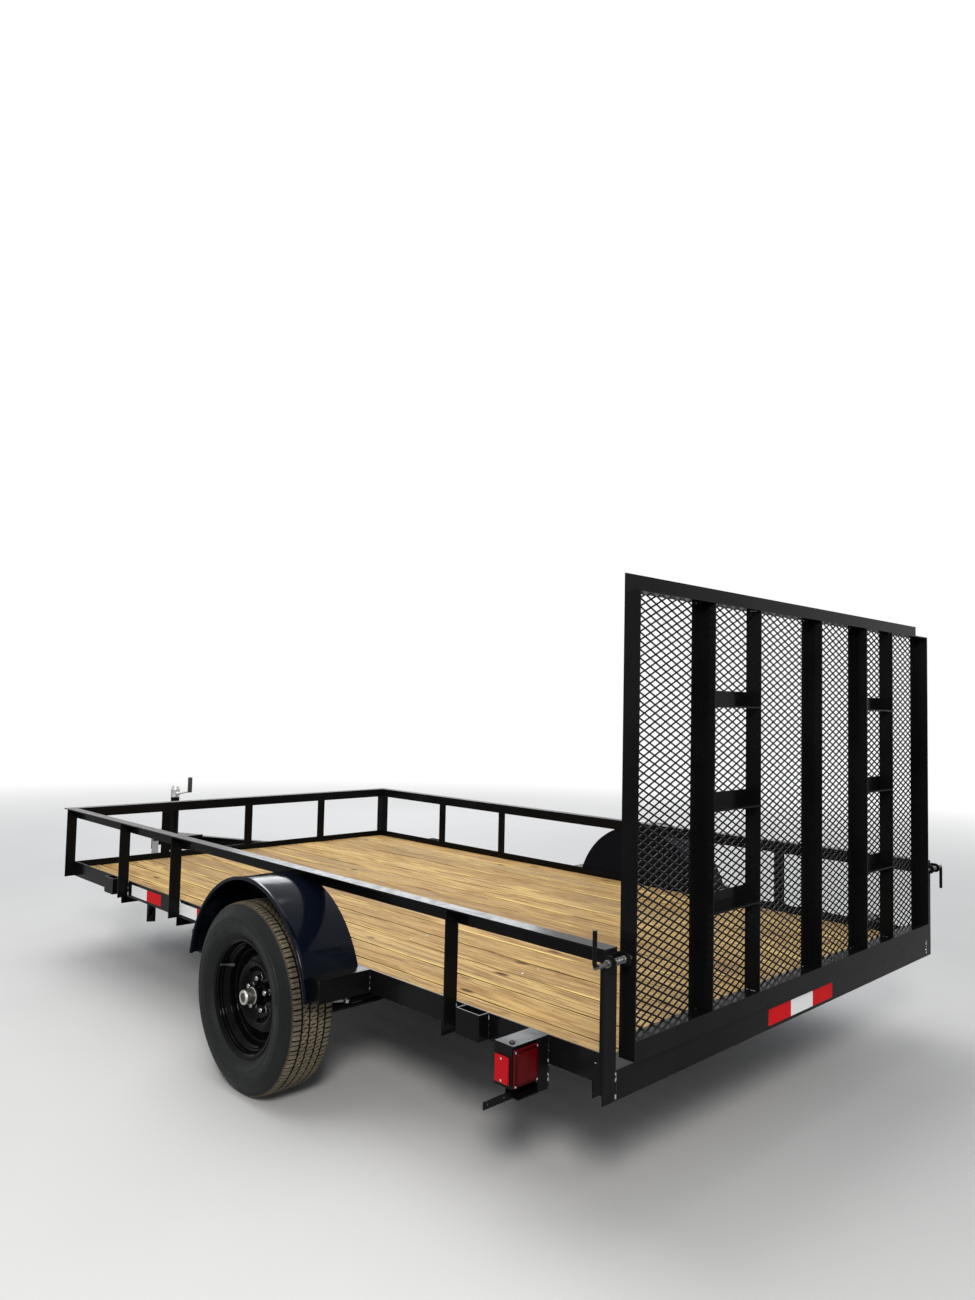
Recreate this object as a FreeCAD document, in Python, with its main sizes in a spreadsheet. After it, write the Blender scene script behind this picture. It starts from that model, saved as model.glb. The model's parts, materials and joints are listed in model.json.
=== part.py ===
import FreeCAD, Part
import os
import re
import Sketcher
from FreeCAD import Placement, Rotation, Vector

# Flat-deck utility trailer, one axle, angle-iron frame, timber deck, mesh ramp gate.
# X points forward (towing direction), Y to the trailer's left, Z up, millimetres.
# Sizes are measured from the gate's rear plane, the centreline and the ground;
# every part is then moved back by centre_shift, so the origin is under the middle.

os.makedirs("parts", exist_ok=True)
doc = FreeCAD.newDocument("UtilityTrailer")

# alias, value or formula, what it is
SIZES = [
    ("frame_half", 1041.4, "centreline to the outer face of a side member"),
    ("rear_face", 27.0, "gate rear plane to the rear member's rear face"),
    ("frame_length", 3657.6, "rear member's rear face to the front member's face"),
    ("tyre_radius", 330.0, "outer radius of a tyre, and axle height"),
    ("frame_lift", 77.0, "axle height to the underside of the side members"),
    ("side_bottom", "tyre_radius + frame_lift", "underside of the side members above ground"),
    ("side_leg", 76.2, "upright leg of side and front members"),
    ("angle_leg", 50.8, "leg of the lighter angle iron"),
    ("steel", 4.8, "thickness of the angle iron"),
    ("rear_leg", 76.2, "both legs of the rear member"),
    ("seat_gap", 0.3, "gap left where one piece is seated on another"),
    ("board_thick", 38.1, "deck board thickness"),
    ("board_count", 15, "deck boards side by side"),
    ("board_gap", 1.8, "gap between deck boards"),
    ("board_tuck", 30.0, "length of board under the rear flange"),
    ("cross_first", 113.0, "rear member's face to the first crossmember"),
    ("cross_count", 6, "crossmembers along the frame"),
    ("rail_rise", 360.0, "side member's underside to the top of the rail"),
    ("rail_top", "side_bottom + rail_rise", "top of the side rail above ground"),
    ("post_share_ahead", 0.812, "place of the first post along the frame"),
    ("post_share_middle", 0.6633, "place of the second post along the frame"),
    ("post_share_behind", 0.16486, "place of the third post along the frame"),
    ("post_ahead", "rear_face + post_share_ahead * frame_length", "heel of the first post"),
    ("post_middle", "rear_face + post_share_middle * frame_length", "heel of the second post"),
    ("post_behind", "rear_face + post_share_behind * frame_length", "heel of the third post"),
    ("right_post_shift", 30.0, "right-hand posts stand this much further forward"),
    ("front_post_share", 0.53774, "place of the outer front posts over the frame's width"),
    ("front_post_reach", "front_post_share * frame_half", "centreline to the outer front posts"),
    ("pocket_long", 100.0, "length of a stake pocket"),
    ("pocket_deep", 40.0, "width of a stake pocket"),
    ("pocket_wall", 5.0, "wall of a stake pocket"),
    ("pocket_to_post", 40.0, "gap between the rear stake pocket and its post"),
    ("pocket_past_post", 37.2, "gap between the first post and its stake pocket"),
    ("wheel_share", 0.4019, "place of the axle along the frame"),
    ("wheel_place", "rear_face + wheel_share * frame_length", "gate rear plane to the axle"),
    ("tyre_half", 102.5, "half the tyre's section width"),
    ("wheel_offset", 146.1, "side member's face to the wheel's middle plane"),
    ("track_half", "frame_half + wheel_offset", "centreline to the wheel's middle plane"),
    ("wheel_inset", 120.0, "wheel parts are drawn from this far inboard"),
    ("rim_flange", 208.0, "rim flange radius"),
    ("rim_lip", 18.0, "height of the rim flange over the bead seat"),
    ("rim_seat", "rim_flange - rim_lip", "bead seat radius"),
    ("stud_circle", 57.15, "radius of the circle of wheel nuts"),
    ("nut_radius", 11.5, "radius over the corners of a wheel nut"),
    ("nut_long", 24.0, "length of a wheel nut"),
    ("axle_drop", 101.6, "drop of the axle tube below the spindles"),
    ("axle_radius", 30.2, "axle tube radius"),
    ("axle_straight", 37.2, "straight axle tube outside the spring's middle"),
    ("axle_bend", 52.8, "width over which the axle tube rises to the spindle"),
    ("spindle_radius", 18.2, "radius of the spindle in the hub's bore"),
    ("spring_inset", 26.4, "side member's face to the spring's middle"),
    ("spring_middle", "frame_half - spring_inset", "centreline to the leaf springs"),
    ("spring_width", 44.5, "leaf width"),
    ("leaf", 7.0, "leaf thickness"),
    ("spring_reach", 320.0, "half the distance between spring eyes"),
    ("spring_curve", 958.0, "radius of the main leaf"),
    ("eye_radius", 15.0, "outer radius of a spring eye"),
    ("bolt_radius", 7.5, "radius of the bolts through the spring eyes"),
    ("hanger_plate", 5.0, "thickness of hanger and shackle plates"),
    ("clamp_rod", 5.5, "radius of the rod of a spring clamp"),
    ("clamp_plate", 10.0, "thickness of a clamp plate"),
    ("fender_gap", 71.0, "tyre to the fender's top"),
    ("fender_radius", "tyre_radius + fender_gap", "outer radius of the fender"),
    ("fender_lift", 15.0, "fender's centre above the axle"),
    ("fender_rise", "tyre_radius + fender_lift", "height of the fender's centre"),
    ("fender_width", 228.6, "side member's face to the fender's outer edge"),
    ("fender_edge", "frame_half + fender_width", "centreline to the fender's outer edge"),
    ("fender_lip", 7.0, "radius of the fender's rolled lip"),
    ("sheet_steel", 2.5, "thickness of fender sheet"),
    ("outrigger_long", 201.6, "side member's face to the outrigger's end"),
    ("outrigger_reach", "frame_half + outrigger_long", "centreline to the outrigger's end"),
    ("outrigger_tuck", 41.0, "outrigger's near face inside the fender's radius"),
    ("outrigger_inner", "fender_radius - outrigger_tuck", "axle to an outrigger's near face"),
    ("tongue_lap", 824.6, "length of tongue leg under the frame"),
    ("tongue_start", "rear_face + frame_length - tongue_lap", "rear end of a tongue leg"),
    ("tongue_inset", 36.4, "side member's face to a tongue leg's rear outer corner"),
    ("tongue_root", "frame_half - tongue_inset", "centreline to a leg's rear outer corner"),
    ("tongue_spread", 63.0, "centreline to a tongue leg's front outer corner"),
    ("tongue_angle", 25.0, "angle of a tongue leg to the centreline"),
    ("tongue_length", "(tongue_root - tongue_spread) / sin(tongue_angle * 1 deg)",
     "length of a tongue leg"),
    ("tongue_height", 101.6, "height of the tongue channel"),
    ("tongue_flange", 40.0, "flange width of the tongue channel"),
    ("channel_flange", 6.0, "thickness of the channel's flanges"),
    ("channel_web", 5.0, "thickness of the channel's web"),
    ("ball_ahead", 44.875, "end of the tongue legs to the ball socket"),
    ("ball_place", "tongue_start + tongue_length * cos(tongue_angle * 1 deg) + ball_ahead",
     "gate rear plane to the ball socket"),
    ("ball_radius", 25.8, "radius of the ball socket"),
    ("coupler_front", 46.0, "ball socket to the coupler's nose"),
    ("coupler_lap", 120.0, "length of the coupler over the tongue legs"),
    ("jack_behind", 235.0, "ball socket to the jack's axis"),
    ("jack_place", "ball_place - jack_behind", "gate rear plane to the jack's axis"),
    ("jack_leg", 25.2, "outer radius of the jack's leg"),
    ("jack_wall", 3.0, "wall of the jack's tubes"),
    ("jack_tube", "jack_leg + seat_gap + jack_wall", "outer radius of the jack's outer tube"),
    ("jack_rise", 357.0, "side member's underside to the top of the jack's head"),
    ("jack_top", "side_bottom + jack_rise", "top of the jack's head"),
    ("jack_foot", 64.0, "radius of the jack's foot"),
    ("head_high", 60.0, "height of the jack head's gear case"),
    ("cap_high", 22.0, "height of the jack head's cap"),
    ("crank_reach", 215.0, "jack's axis to the crank's grip"),
    ("gate_inset", 42.4, "side member's face to the gate's edge"),
    ("gate_half", "frame_half - gate_inset", "centreline to the gate's edge"),
    ("gate_clear", 16.6, "rear flange to the underside of the gate"),
    ("gate_bottom", "side_bottom + board_thick + 2 * steel + seat_gap + gate_clear",
     "underside of the gate"),
    ("gate_height", 1271.4, "height of the gate"),
    ("mesh_thick", 3.5, "thickness of the expanded metal"),
    ("mesh_wide", 50.8, "long way of the mesh opening"),
    ("mesh_high", 23.4, "short way of the mesh opening"),
    ("mesh_strand", 3.4, "width of a mesh strand"),
    ("mesh_inset_side", 14.0, "gate's edge to the mesh's edge"),
    ("mesh_inset_low", 30.0, "gate's underside to the mesh's lower edge"),
    ("mesh_inset_top", 18.0, "gate's top to the mesh's upper edge"),
    ("hinge_back", 16.0, "gate rear plane to the hinge axis"),
    ("hinge_up", 8.4, "gate's underside to the hinge axis"),
    ("hinge_height", "gate_bottom + hinge_up", "hinge axis above ground"),
    ("hinge_share", 0.62062, "place of the outer hinges over the gate's width"),
    ("hinge_reach", "hinge_share * gate_half", "centreline to the outer hinges"),
    ("knuckle", 8.0, "radius of a hinge knuckle"),
    ("hinge_pin", 5.0, "radius of a hinge pin"),
    ("latch_below", 29.0, "top of the rail to the latch pin"),
    ("latch_height", "rail_top - latch_below", "latch pin above ground"),
    ("latch_pin", 6.0, "radius of a latch pin"),
    ("latch_ear", 18.0, "radius of a latch's ears"),
    ("latch_plate", 5.0, "thickness of a latch's ears"),
    ("latch_handle", 92.0, "length of the latch pin's bent handle"),
    ("light_ahead", 235.0, "rear member's face to the light box"),
    ("light_place", "rear_face + light_ahead", "gate rear plane to the light box"),
    ("light_long", 138.6, "side member's face to the light box's outer face"),
    ("light_reach", "frame_half + light_long", "centreline to the light box's outer face"),
    ("light_wide", 66.0, "size of the light box along the trailer"),
    ("light_high", 112.0, "height of the light box"),
    ("light_bracket", 144.0, "height of the light bracket"),
    ("lens_thick", 11.0, "thickness of the rear lens"),
    ("strap_long", 104.0, "length of the licence-plate strap"),
    ("strap_high", 20.0, "height of the licence-plate strap"),
    ("overhang", 10.0, "latch ears behind the gate's rear plane"),
]

sheet = doc.addObject("Spreadsheet::Sheet", "Sizes")
VALUE = {}
for row, (alias, size, note) in enumerate(SIZES, start=2):
    sheet.set(f"A{row}", note)
    sheet.set(f"B{row}", "=" + size if isinstance(size, str) else str(size))
    sheet.setAlias(f"B{row}", alias)
doc.recompute()
for alias, size, note in SIZES:
    VALUE[alias] = float(sheet.get(alias))

WORD = re.compile(r"[a-z]+(?:_[a-z]+)*")
SHIFT = "(ball_place + coupler_front - overhang) / 2"
FLANGE = "(side_bottom + 2 * steel + board_thick + seat_gap)"
FRONT = "(rear_face + frame_length)"
TOP = "(side_bottom + side_leg)"
DECK = "(side_bottom + steel + board_thick)"
subparts = []


def ex(text):
    """Write a size formula with its aliases pointing at the sheet."""
    def link(found):
        word = found.group(0)
        return "Sizes." + word if word in VALUE else word
    return WORD.sub(link, str(text))


def tie(thing, prop, text):
    thing.setExpression(prop, ex(text))


def at(thing, x, y, z):
    tie(thing, "Placement.Base.x", x)
    tie(thing, "Placement.Base.y", y)
    tie(thing, "Placement.Base.z", z)
    return thing


def bar(x, y, z, dx, dy, dz, side=1):
    """A box from its low corner and sizes; side -1 puts it across the centreline."""
    made = doc.addObject("Part::Box", "Bar")
    tie(made, "Length", dx)
    tie(made, "Width", dy)
    tie(made, "Height", dz)
    return at(made, x, y if side > 0 else f"-({y}) - ({dy})", z)


TURN = {
    "x": Rotation(Vector(0, 1, 0), 90),
    "y": Rotation(Vector(1, 0, 0), -90),
    "z": Rotation(),
}


def rod(axis, x, y, z, radius, length, side=1):
    """A round bar along an axis from its low end."""
    made = doc.addObject("Part::Cylinder", "Rod")
    tie(made, "Radius", radius)
    tie(made, "Height", length)
    made.Placement = Placement(Vector(), TURN[axis])
    if side < 0:
        y = f"-({y}) - ({length})" if axis == "y" else f"-({y})"
    return at(made, x, y, z)


def fuse(things):
    made = doc.addObject("Part::MultiFuse", "Joined")
    made.Shapes = things
    made.Refine = True
    return made


def cut(base, tool):
    made = doc.addObject("Part::Cut", "Cut")
    made.Base = base
    made.Tool = tool
    return made


def common(first, second):
    made = doc.addObject("Part::Common", "Common")
    made.Base = first
    made.Tool = second
    return made


def group(things):
    made = doc.addObject("Part::Compound", "Group")
    made.Links = things
    return made


def keep(label, thing, x=None, y="0", z="0"):
    """Name a sub-part and place it from the trailer's middle."""
    thing.Label = label
    at(thing, f"-{SHIFT}" if x is None else f"{x} - {SHIFT}", y, z)
    subparts.append(thing)
    return thing


def turned(name, rows):
    """A solid turned about its own Y axis; rows: radius formula, number, place formula, number."""
    body = doc.addObject("PartDesign::Body", name)
    plane = [o for o in body.Origin.OriginFeatures if o.Role == "XY_Plane"][0]
    sketch = body.newObject("Sketcher::SketchObject", name + "Profile")
    sketch.AttachmentSupport = [(plane, "")]
    sketch.MapMode = "FlatFace"
    corners = [Vector(row[1], row[3], 0) for row in rows]
    count = len(corners)
    for number in range(count):
        sketch.addGeometry(Part.LineSegment(corners[number], corners[(number + 1) % count]), False)
    for number in range(count):
        follow = (number + 1) % count
        sketch.addConstraint(Sketcher.Constraint("Coincident", number, 2, follow, 1))
    for number, (radius, radius_now, place, place_now) in enumerate(rows):
        across = sketch.addConstraint(
            Sketcher.Constraint("DistanceX", -1, 1, number, 1, radius_now))
        tie(sketch, f"Constraints[{across}]", radius)
        along = sketch.addConstraint(
            Sketcher.Constraint("DistanceY", -1, 1, number, 1, place_now))
        tie(sketch, f"Constraints[{along}]", place)
    turn = body.newObject("PartDesign::Revolution", name + "Turn")
    turn.Profile = sketch
    turn.ReferenceAxis = (sketch, ["V_Axis"])
    turn.Angle = 360
    body.Tip = turn
    return body


SIDES = [("left", 1), ("right", -1)]

# Side members: upright leg outside, foot inward under the boards.
for name, side in SIDES:
    member_x = "rear_face + steel"
    member_long = "frame_length - steel"
    keep(f"side_member_{name}", fuse([
        bar(member_x, "frame_half - steel", "side_bottom", member_long, "steel", "side_leg", side),
        bar(member_x, "frame_half - angle_leg", "side_bottom", f"{member_long} - steel",
            "angle_leg", "steel", side),
    ]))

# Front member between the side members.
keep("front_member", fuse([
    bar(f"{FRONT} - steel", "-frame_half + steel", "side_bottom",
        "steel", "2 * (frame_half - steel)", "side_leg"),
    bar(f"{FRONT} - angle_leg", "-frame_half + angle_leg", "side_bottom",
        "angle_leg", "2 * (frame_half - angle_leg)", "steel"),
]))

# Rear member: flange over the board ends, upright leg hanging behind.
keep("rear_member", fuse([
    bar("rear_face", "-frame_half", f"{FLANGE} - rear_leg",
        "steel", "2 * frame_half", "rear_leg"),
    bar("rear_face", "-frame_half + steel", f"{DECK} + seat_gap",
        "rear_leg", "2 * (frame_half - steel)", "steel"),
]))


def tongue_leg(side, solid):
    """One leg of the tongue: a channel, or the plain bar that it fits in when solid."""
    pieces = []
    parts = [("0", "tongue_flange", "0", "tongue_height")]
    if not solid:
        parts = [
            ("0", "tongue_flange", "0", "channel_flange"),
            ("0", "tongue_flange", "tongue_height - channel_flange", "channel_flange"),
            ("0", "channel_web", "0", "tongue_height"),
        ]
    for inner, wide, low, high in parts:
        leg = doc.addObject("Part::Box", "Leg")
        tie(leg, "Length", "tongue_length")
        tie(leg, "Width", wide)
        tie(leg, "Height", high)
        leg.Placement = Placement(Vector(), Rotation(Vector(0, 0, 1), 25))
        tie(leg, "Placement.Rotation.Angle", f"{-side} * tongue_angle")
        # The channel's web is outside, its flanges reach inward across the leg.
        if side > 0:
            at(leg,
               f"tongue_start - ({inner} + {wide}) * sin(tongue_angle * 1 deg)",
               f"tongue_root - ({inner} + {wide}) * cos(tongue_angle * 1 deg)",
               f"side_bottom - tongue_height + {low}")
        else:
            at(leg,
               f"tongue_start - ({inner}) * sin(tongue_angle * 1 deg)",
               f"-tongue_root + ({inner}) * cos(tongue_angle * 1 deg)",
               f"side_bottom - tongue_height + {low}")
        pieces.append(leg)
    return pieces


keep("tongue_leg_left", fuse(tongue_leg(1, False)))
keep("tongue_leg_right", fuse(tongue_leg(-1, False)))

# Crossmembers: flat leg level with the feet, upright leg hanging below.
crossbars = []
for number in range(int(VALUE["cross_count"])):
    place = f"rear_face + cross_first + {number} * frame_length / cross_count"
    low_y = "angle_leg - frame_half"
    wide = "2 * (frame_half - angle_leg)"
    crossbars.append(fuse([
        bar(place, low_y, "side_bottom", "angle_leg", wide, "steel"),
        bar(place, low_y, "side_bottom + steel - side_leg", "steel", wide, "side_leg"),
    ]))
tongue_space = fuse(tongue_leg(1, True) + tongue_leg(-1, True))
crossbars[-1] = cut(crossbars[-1], tongue_space)
keep("crossmembers", group(crossbars))

# Deck boards lengthwise on the feet and crossmembers.
boards = []
board_pitch = "2 * (frame_half - steel) / board_count"
for number in range(int(VALUE["board_count"])):
    boards.append(bar(
        "rear_face + rear_leg - board_tuck",
        f"-(frame_half - steel) + {number} * {board_pitch} + board_gap / 2",
        "side_bottom + steel",
        "frame_length - rear_leg + board_tuck - steel - seat_gap",
        f"{board_pitch} - board_gap",
        "board_thick"))
keep("deck_boards", group(boards))

# Top rails: flat leg outward over the posts, upright leg at the frame's line.
for name, side in SIDES:
    keep(f"top_rail_{name}", fuse([
        bar("rear_face", "frame_half", "rail_top - steel",
            "frame_length + angle_leg", "angle_leg", "steel", side),
        bar("rear_face", "frame_half", "rail_top - angle_leg",
            "frame_length", "steel", "angle_leg", side),
    ]))
keep("top_rail_front", fuse([
    bar(FRONT, "-frame_half", "rail_top - steel", "angle_leg", "2 * frame_half", "steel"),
    bar(FRONT, "-frame_half", "rail_top - angle_leg", "steel", "2 * frame_half", "angle_leg"),
]))


def post(x, side, low):
    """An upright of angle iron: one leg flat on the side member, one outward at its heel."""
    first = x if side > 0 else f"({x}) + angle_leg - steel"
    return fuse([
        bar(x, "frame_half", low, "angle_leg", "steel", f"rail_top - angle_leg - ({low})", side),
        bar(first, "frame_half + steel", low,
            "steel", "angle_leg - steel", f"rail_top - steel - ({low})", side),
        bar(first, "frame_half", low, "steel", "steel", f"rail_top - angle_leg - ({low})", side),
    ])


REAR_LOW = f"{FLANGE} - rear_leg"
for name, side in SIDES:
    shift = "0" if side > 0 else "right_post_shift"
    places = [f"{p} + {shift}" for p in ("post_ahead", "post_middle", "post_behind")]
    keep(f"posts_{name}", group([post(p, side, "side_bottom") for p in places]))

# Rear corner posts carry the gate latches and reach down beside the rear member.
rear_posts = []
for name, side in SIDES:
    rear_posts.append(fuse([
        bar("rear_face", "frame_half", REAR_LOW,
            "angle_leg", "steel", f"rail_top - angle_leg - ({REAR_LOW})", side),
        bar("rear_face", "frame_half + steel", REAR_LOW,
            "steel", "angle_leg - steel", f"rail_top - steel - ({REAR_LOW})", side),
    ]))
keep("rear_corner_posts", group(rear_posts))

front_posts = []
for place in ("-front_post_reach", "-angle_leg / 2", "front_post_reach - angle_leg"):
    front_posts.append(fuse([
        bar(FRONT, place, "side_bottom", "steel", "angle_leg",
            "rail_top - angle_leg - side_bottom"),
        bar(f"{FRONT} + steel", place, "side_bottom", "angle_leg - steel", "steel",
            "rail_top - steel - side_bottom"),
    ]))
for name, side in SIDES:
    front_posts.append(fuse([
        bar(FRONT, "frame_half", "side_bottom",
            "angle_leg", "steel", "rail_top - steel - side_bottom", side),
        bar(FRONT, "frame_half", "side_bottom",
            "steel", "angle_leg", "rail_top - steel - side_bottom", side),
    ]))
keep("front_posts", group(front_posts))

# Stake pockets on the side members, two a side.
pockets = []
for name, side in SIDES:
    for place in ("post_behind - pocket_to_post - pocket_long",
                  "post_ahead + angle_leg + pocket_past_post"):
        outer = bar(place, "frame_half", "side_bottom", "pocket_long", "pocket_deep",
                    "side_leg", side)
        inner = bar(f"{place} + pocket_wall", "frame_half", "side_bottom",
                    "pocket_long - 2 * pocket_wall", "pocket_deep - pocket_wall", "side_leg",
                    side)
        pockets.append(cut(outer, inner))
keep("stake_pockets", group(pockets))

# Fenders: rolled sheet with a rolled outer edge, closed inside by a flat plate.
for name, side in SIDES:
    plate_y = "frame_half + steel + 0.2"
    wide = f"fender_edge - ({plate_y})"
    shell = cut(
        rod("y", "wheel_place", plate_y, "fender_rise", "fender_radius", wide, side),
        rod("y", "wheel_place", f"{plate_y} + sheet_steel", "fender_rise",
            "fender_radius - sheet_steel", wide, side))
    lip = doc.addObject("Part::Torus", "Lip")
    tie(lip, "Radius1", "fender_radius - fender_lip / 2")
    tie(lip, "Radius2", "fender_lip")
    lip.Placement = Placement(Vector(), TURN["y"])
    at(lip, "wheel_place", f"{side} * (fender_edge - fender_lip / 2)", "fender_rise")
    below = bar("wheel_place - 2 * fender_radius", "frame_half - angle_leg",
                "side_bottom - 2 * fender_radius", "4 * fender_radius",
                "2 * fender_width", "2 * fender_radius", side)
    nooks = []
    for place in ("wheel_place - outrigger_inner - rear_leg", "wheel_place + outrigger_inner"):
        nooks.append(bar(f"{place} - seat_gap", "frame_half", "side_bottom - steel",
                         "rear_leg + 2 * seat_gap", "outrigger_long + seat_gap",
                         "side_leg + steel + seat_gap", side))
    keep(f"fender_{name}", cut(fuse([shell, lip]), fuse([below] + nooks)))

# Outriggers under the fenders' ends.
arms = []
for name, side in SIDES:
    for place in ("wheel_place - outrigger_inner - rear_leg", "wheel_place + outrigger_inner"):
        outer = bar(place, "frame_half", "side_bottom", "rear_leg",
                    "outrigger_reach - frame_half", "side_leg", side)
        inner = bar(f"{place} + steel", "frame_half + steel", "side_bottom", "rear_leg - 2 * steel",
                    "outrigger_reach - frame_half - 2 * steel", "side_leg - steel", side)
        arms.append(cut(outer, inner))
keep("outriggers", group(arms))

# Drop axle with spring seats and spindles.
axle_bits = [
    rod("y", "wheel_place", "-spring_middle - axle_straight", "tyre_radius - axle_drop",
        "axle_radius", "2 * (spring_middle + axle_straight)"),
]
for name, side in SIDES:
    elbow = "spring_middle + axle_straight"
    bend = doc.addObject("Part::Cylinder", "Bend")
    tie(bend, "Radius", "axle_radius")
    tie(bend, "Height", "sqrt(axle_drop ^ 2 + axle_bend ^ 2)")
    bend.Placement = Placement(Vector(), Rotation(Vector(1, 0, 0), 30))
    tie(bend, "Placement.Rotation.Angle", f"{-side} * atan(axle_bend / axle_drop)")
    at(bend, "wheel_place", f"{side} * ({elbow})", "tyre_radius - axle_drop")
    axle_bits.append(bend)
    for along, up in ((elbow, "tyre_radius - axle_drop"), (f"{elbow} + axle_bend", "tyre_radius")):
        ball = doc.addObject("Part::Sphere", "Elbow")
        tie(ball, "Radius", "axle_radius + seat_gap")
        axle_bits.append(at(ball, "wheel_place", f"{side} * ({along})", up))
    axle_bits.append(rod("y", "wheel_place", f"{elbow} + axle_bend", "tyre_radius",
                         "spindle_radius", f"track_half + 34 - ({elbow} + axle_bend)", side))
    axle_bits.append(bar("wheel_place - 38", "spring_middle - spring_width / 2",
                         "tyre_radius - axle_drop", "76", "spring_width",
                         "axle_radius + 7.4", side))
keep("axle", fuse(axle_bits))

# Leaf springs above the axle: concentric leaves, eyes at the main leaf's ends.
SEAT = "(tyre_radius - axle_drop + axle_radius + 7.4)"
LEAF_TOP = f"({SEAT} + 4 * leaf)"
EYE_HIGH = f"({LEAF_TOP} + spring_curve - sqrt(spring_curve ^ 2 - spring_reach ^ 2) + 6)"
springs = []
for name, side in SIDES:
    leaves = []
    low_y = "spring_middle - spring_width / 2"
    middle_z = f"{LEAF_TOP} + spring_curve"
    for number, share in enumerate((1, 0.78, 0.55, 0.31)):
        half = f"{share} * spring_reach"
        ring = cut(
            rod("y", "wheel_place", low_y, middle_z, f"spring_curve + {number + 1} * leaf",
                "spring_width", side),
            rod("y", "wheel_place", low_y, middle_z, f"spring_curve + {number} * leaf",
                "spring_width", side))
        leaves.append(common(ring, bar(f"wheel_place - {half}", low_y, f"{SEAT} - leaf",
                                       f"2 * {half}", "spring_width", "spring_reach / 2", side)))
    for sign in ("-", "+"):
        leaves.append(rod("y", f"wheel_place {sign} spring_reach", low_y, EYE_HIGH, "eye_radius",
                          "spring_width", side))
    holes = []
    for sign in ("-", "+"):
        holes.append(rod("y", f"wheel_place {sign} spring_reach", low_y, EYE_HIGH,
                         "bolt_radius + seat_gap", "spring_width", side))
    springs.append(cut(fuse(leaves), fuse(holes)))
keep("leaf_springs", group(springs))

# Spring hangers in front, shackles behind, each with its bolts.
hangers = []
for name, side in SIDES:
    front_x = "wheel_place + spring_reach"
    rear_x = "wheel_place - spring_reach"
    bolt_y = "spring_middle - spring_width / 2 - 12"
    bolt_long = "spring_width + 24"
    drop = f"side_bottom - {EYE_HIGH}"
    front = [rod("y", front_x, bolt_y, EYE_HIGH, "bolt_radius", bolt_long, side)]
    rear = [
        rod("y", rear_x, bolt_y, EYE_HIGH, "bolt_radius", bolt_long, side),
        rod("y", rear_x, bolt_y, "side_bottom - 14", "bolt_radius", bolt_long, side),
        bar(f"{rear_x} - 16", "spring_middle - spring_width / 2 + 1", f"{EYE_HIGH} + 22",
            "32", "spring_width - 2", f"{drop} - 22", side),
    ]
    for plate_y in ("spring_middle + spring_width / 2 + seat_gap",
                    "spring_middle - spring_width / 2 - seat_gap - hanger_plate"):
        front.append(bar(f"{front_x} - 22", plate_y, f"{EYE_HIGH} - 16", "44", "hanger_plate",
                         f"{drop} + 16", side))
        rear.append(bar(f"{rear_x} - 13", plate_y, f"{EYE_HIGH} - 14", "26", "hanger_plate",
                        f"{drop} + 11", side))
    hangers.append(fuse(front))
    hangers.append(fuse(rear))
keep("spring_hangers", group(hangers))

# Clamps that hold the axle to the springs.
BOW = "(axle_radius + clamp_rod + seat_gap)"
CLAMP_HALF = "(spring_width / 2 + 2 * clamp_rod + 2.5)"
clamps = []
for name, side in SIDES:
    # The clamp's plate is shaped to the main leaf's curve.
    pieces = [common(
        bar("wheel_place - 52", f"spring_middle - {CLAMP_HALF}", LEAF_TOP, "104",
            f"2 * {CLAMP_HALF}", "clamp_plate", side),
        rod("y", "wheel_place", f"spring_middle - {CLAMP_HALF}", f"{LEAF_TOP} + spring_curve",
            "spring_curve - 0.2", f"2 * {CLAMP_HALF}", side))]
    for sign_y in ("-", "+"):
        offset = f"{sign_y} (spring_width / 2 + clamp_rod + seat_gap)"
        for sign in ("-", "+"):
            pieces.append(rod("z", f"wheel_place {sign} {BOW}", f"spring_middle {offset}",
                              "tyre_radius - axle_drop", "clamp_rod",
                              f"{LEAF_TOP} + 24 - tyre_radius + axle_drop", side))
            pieces.append(rod("z", f"wheel_place {sign} {BOW}", f"spring_middle {offset}",
                              f"{LEAF_TOP} + clamp_plate", "9.5", "9", side))
        hoop = doc.addObject("Part::Torus", "Hoop")
        tie(hoop, "Radius1", BOW)
        tie(hoop, "Radius2", "clamp_rod")
        hoop.Angle3 = 180
        hoop.Placement = Placement(Vector(), Rotation(Vector(1, 0, 0), -90))
        at(hoop, "wheel_place", f"{side} * (spring_middle {offset})", "tyre_radius - axle_drop")
        pieces.append(hoop)
    clamps.append(fuse(pieces))
keep("axle_clamps", group(clamps))


def rim_row(radius, place):
    """A point of the wheel: radius from the flange, place from the middle plane."""
    return (f"rim_flange + {radius}", VALUE["rim_flange"] + radius,
            f"wheel_inset + {place}", VALUE["wheel_inset"] + place)


def plain_row(radius, place):
    return (str(radius), radius, f"wheel_inset + {place}", VALUE["wheel_inset"] + place)


BEAD_TOP = 1.32


def tyre_row(lip, high, wide):
    """A point of the tyre: shares of the rim's lip, of the wall over the bead, of the width."""
    lip_high = VALUE["rim_lip"]
    wall = VALUE["tyre_radius"] - VALUE["rim_seat"] - BEAD_TOP * lip_high
    return (f"rim_seat + {lip} * rim_lip"
            f" + {high} * (tyre_radius - rim_seat - {BEAD_TOP} * rim_lip)",
            VALUE["rim_seat"] + lip * lip_high + high * wall,
            f"wheel_inset + {wide} * tyre_half",
            VALUE["wheel_inset"] + wide * VALUE["tyre_half"])


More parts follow.
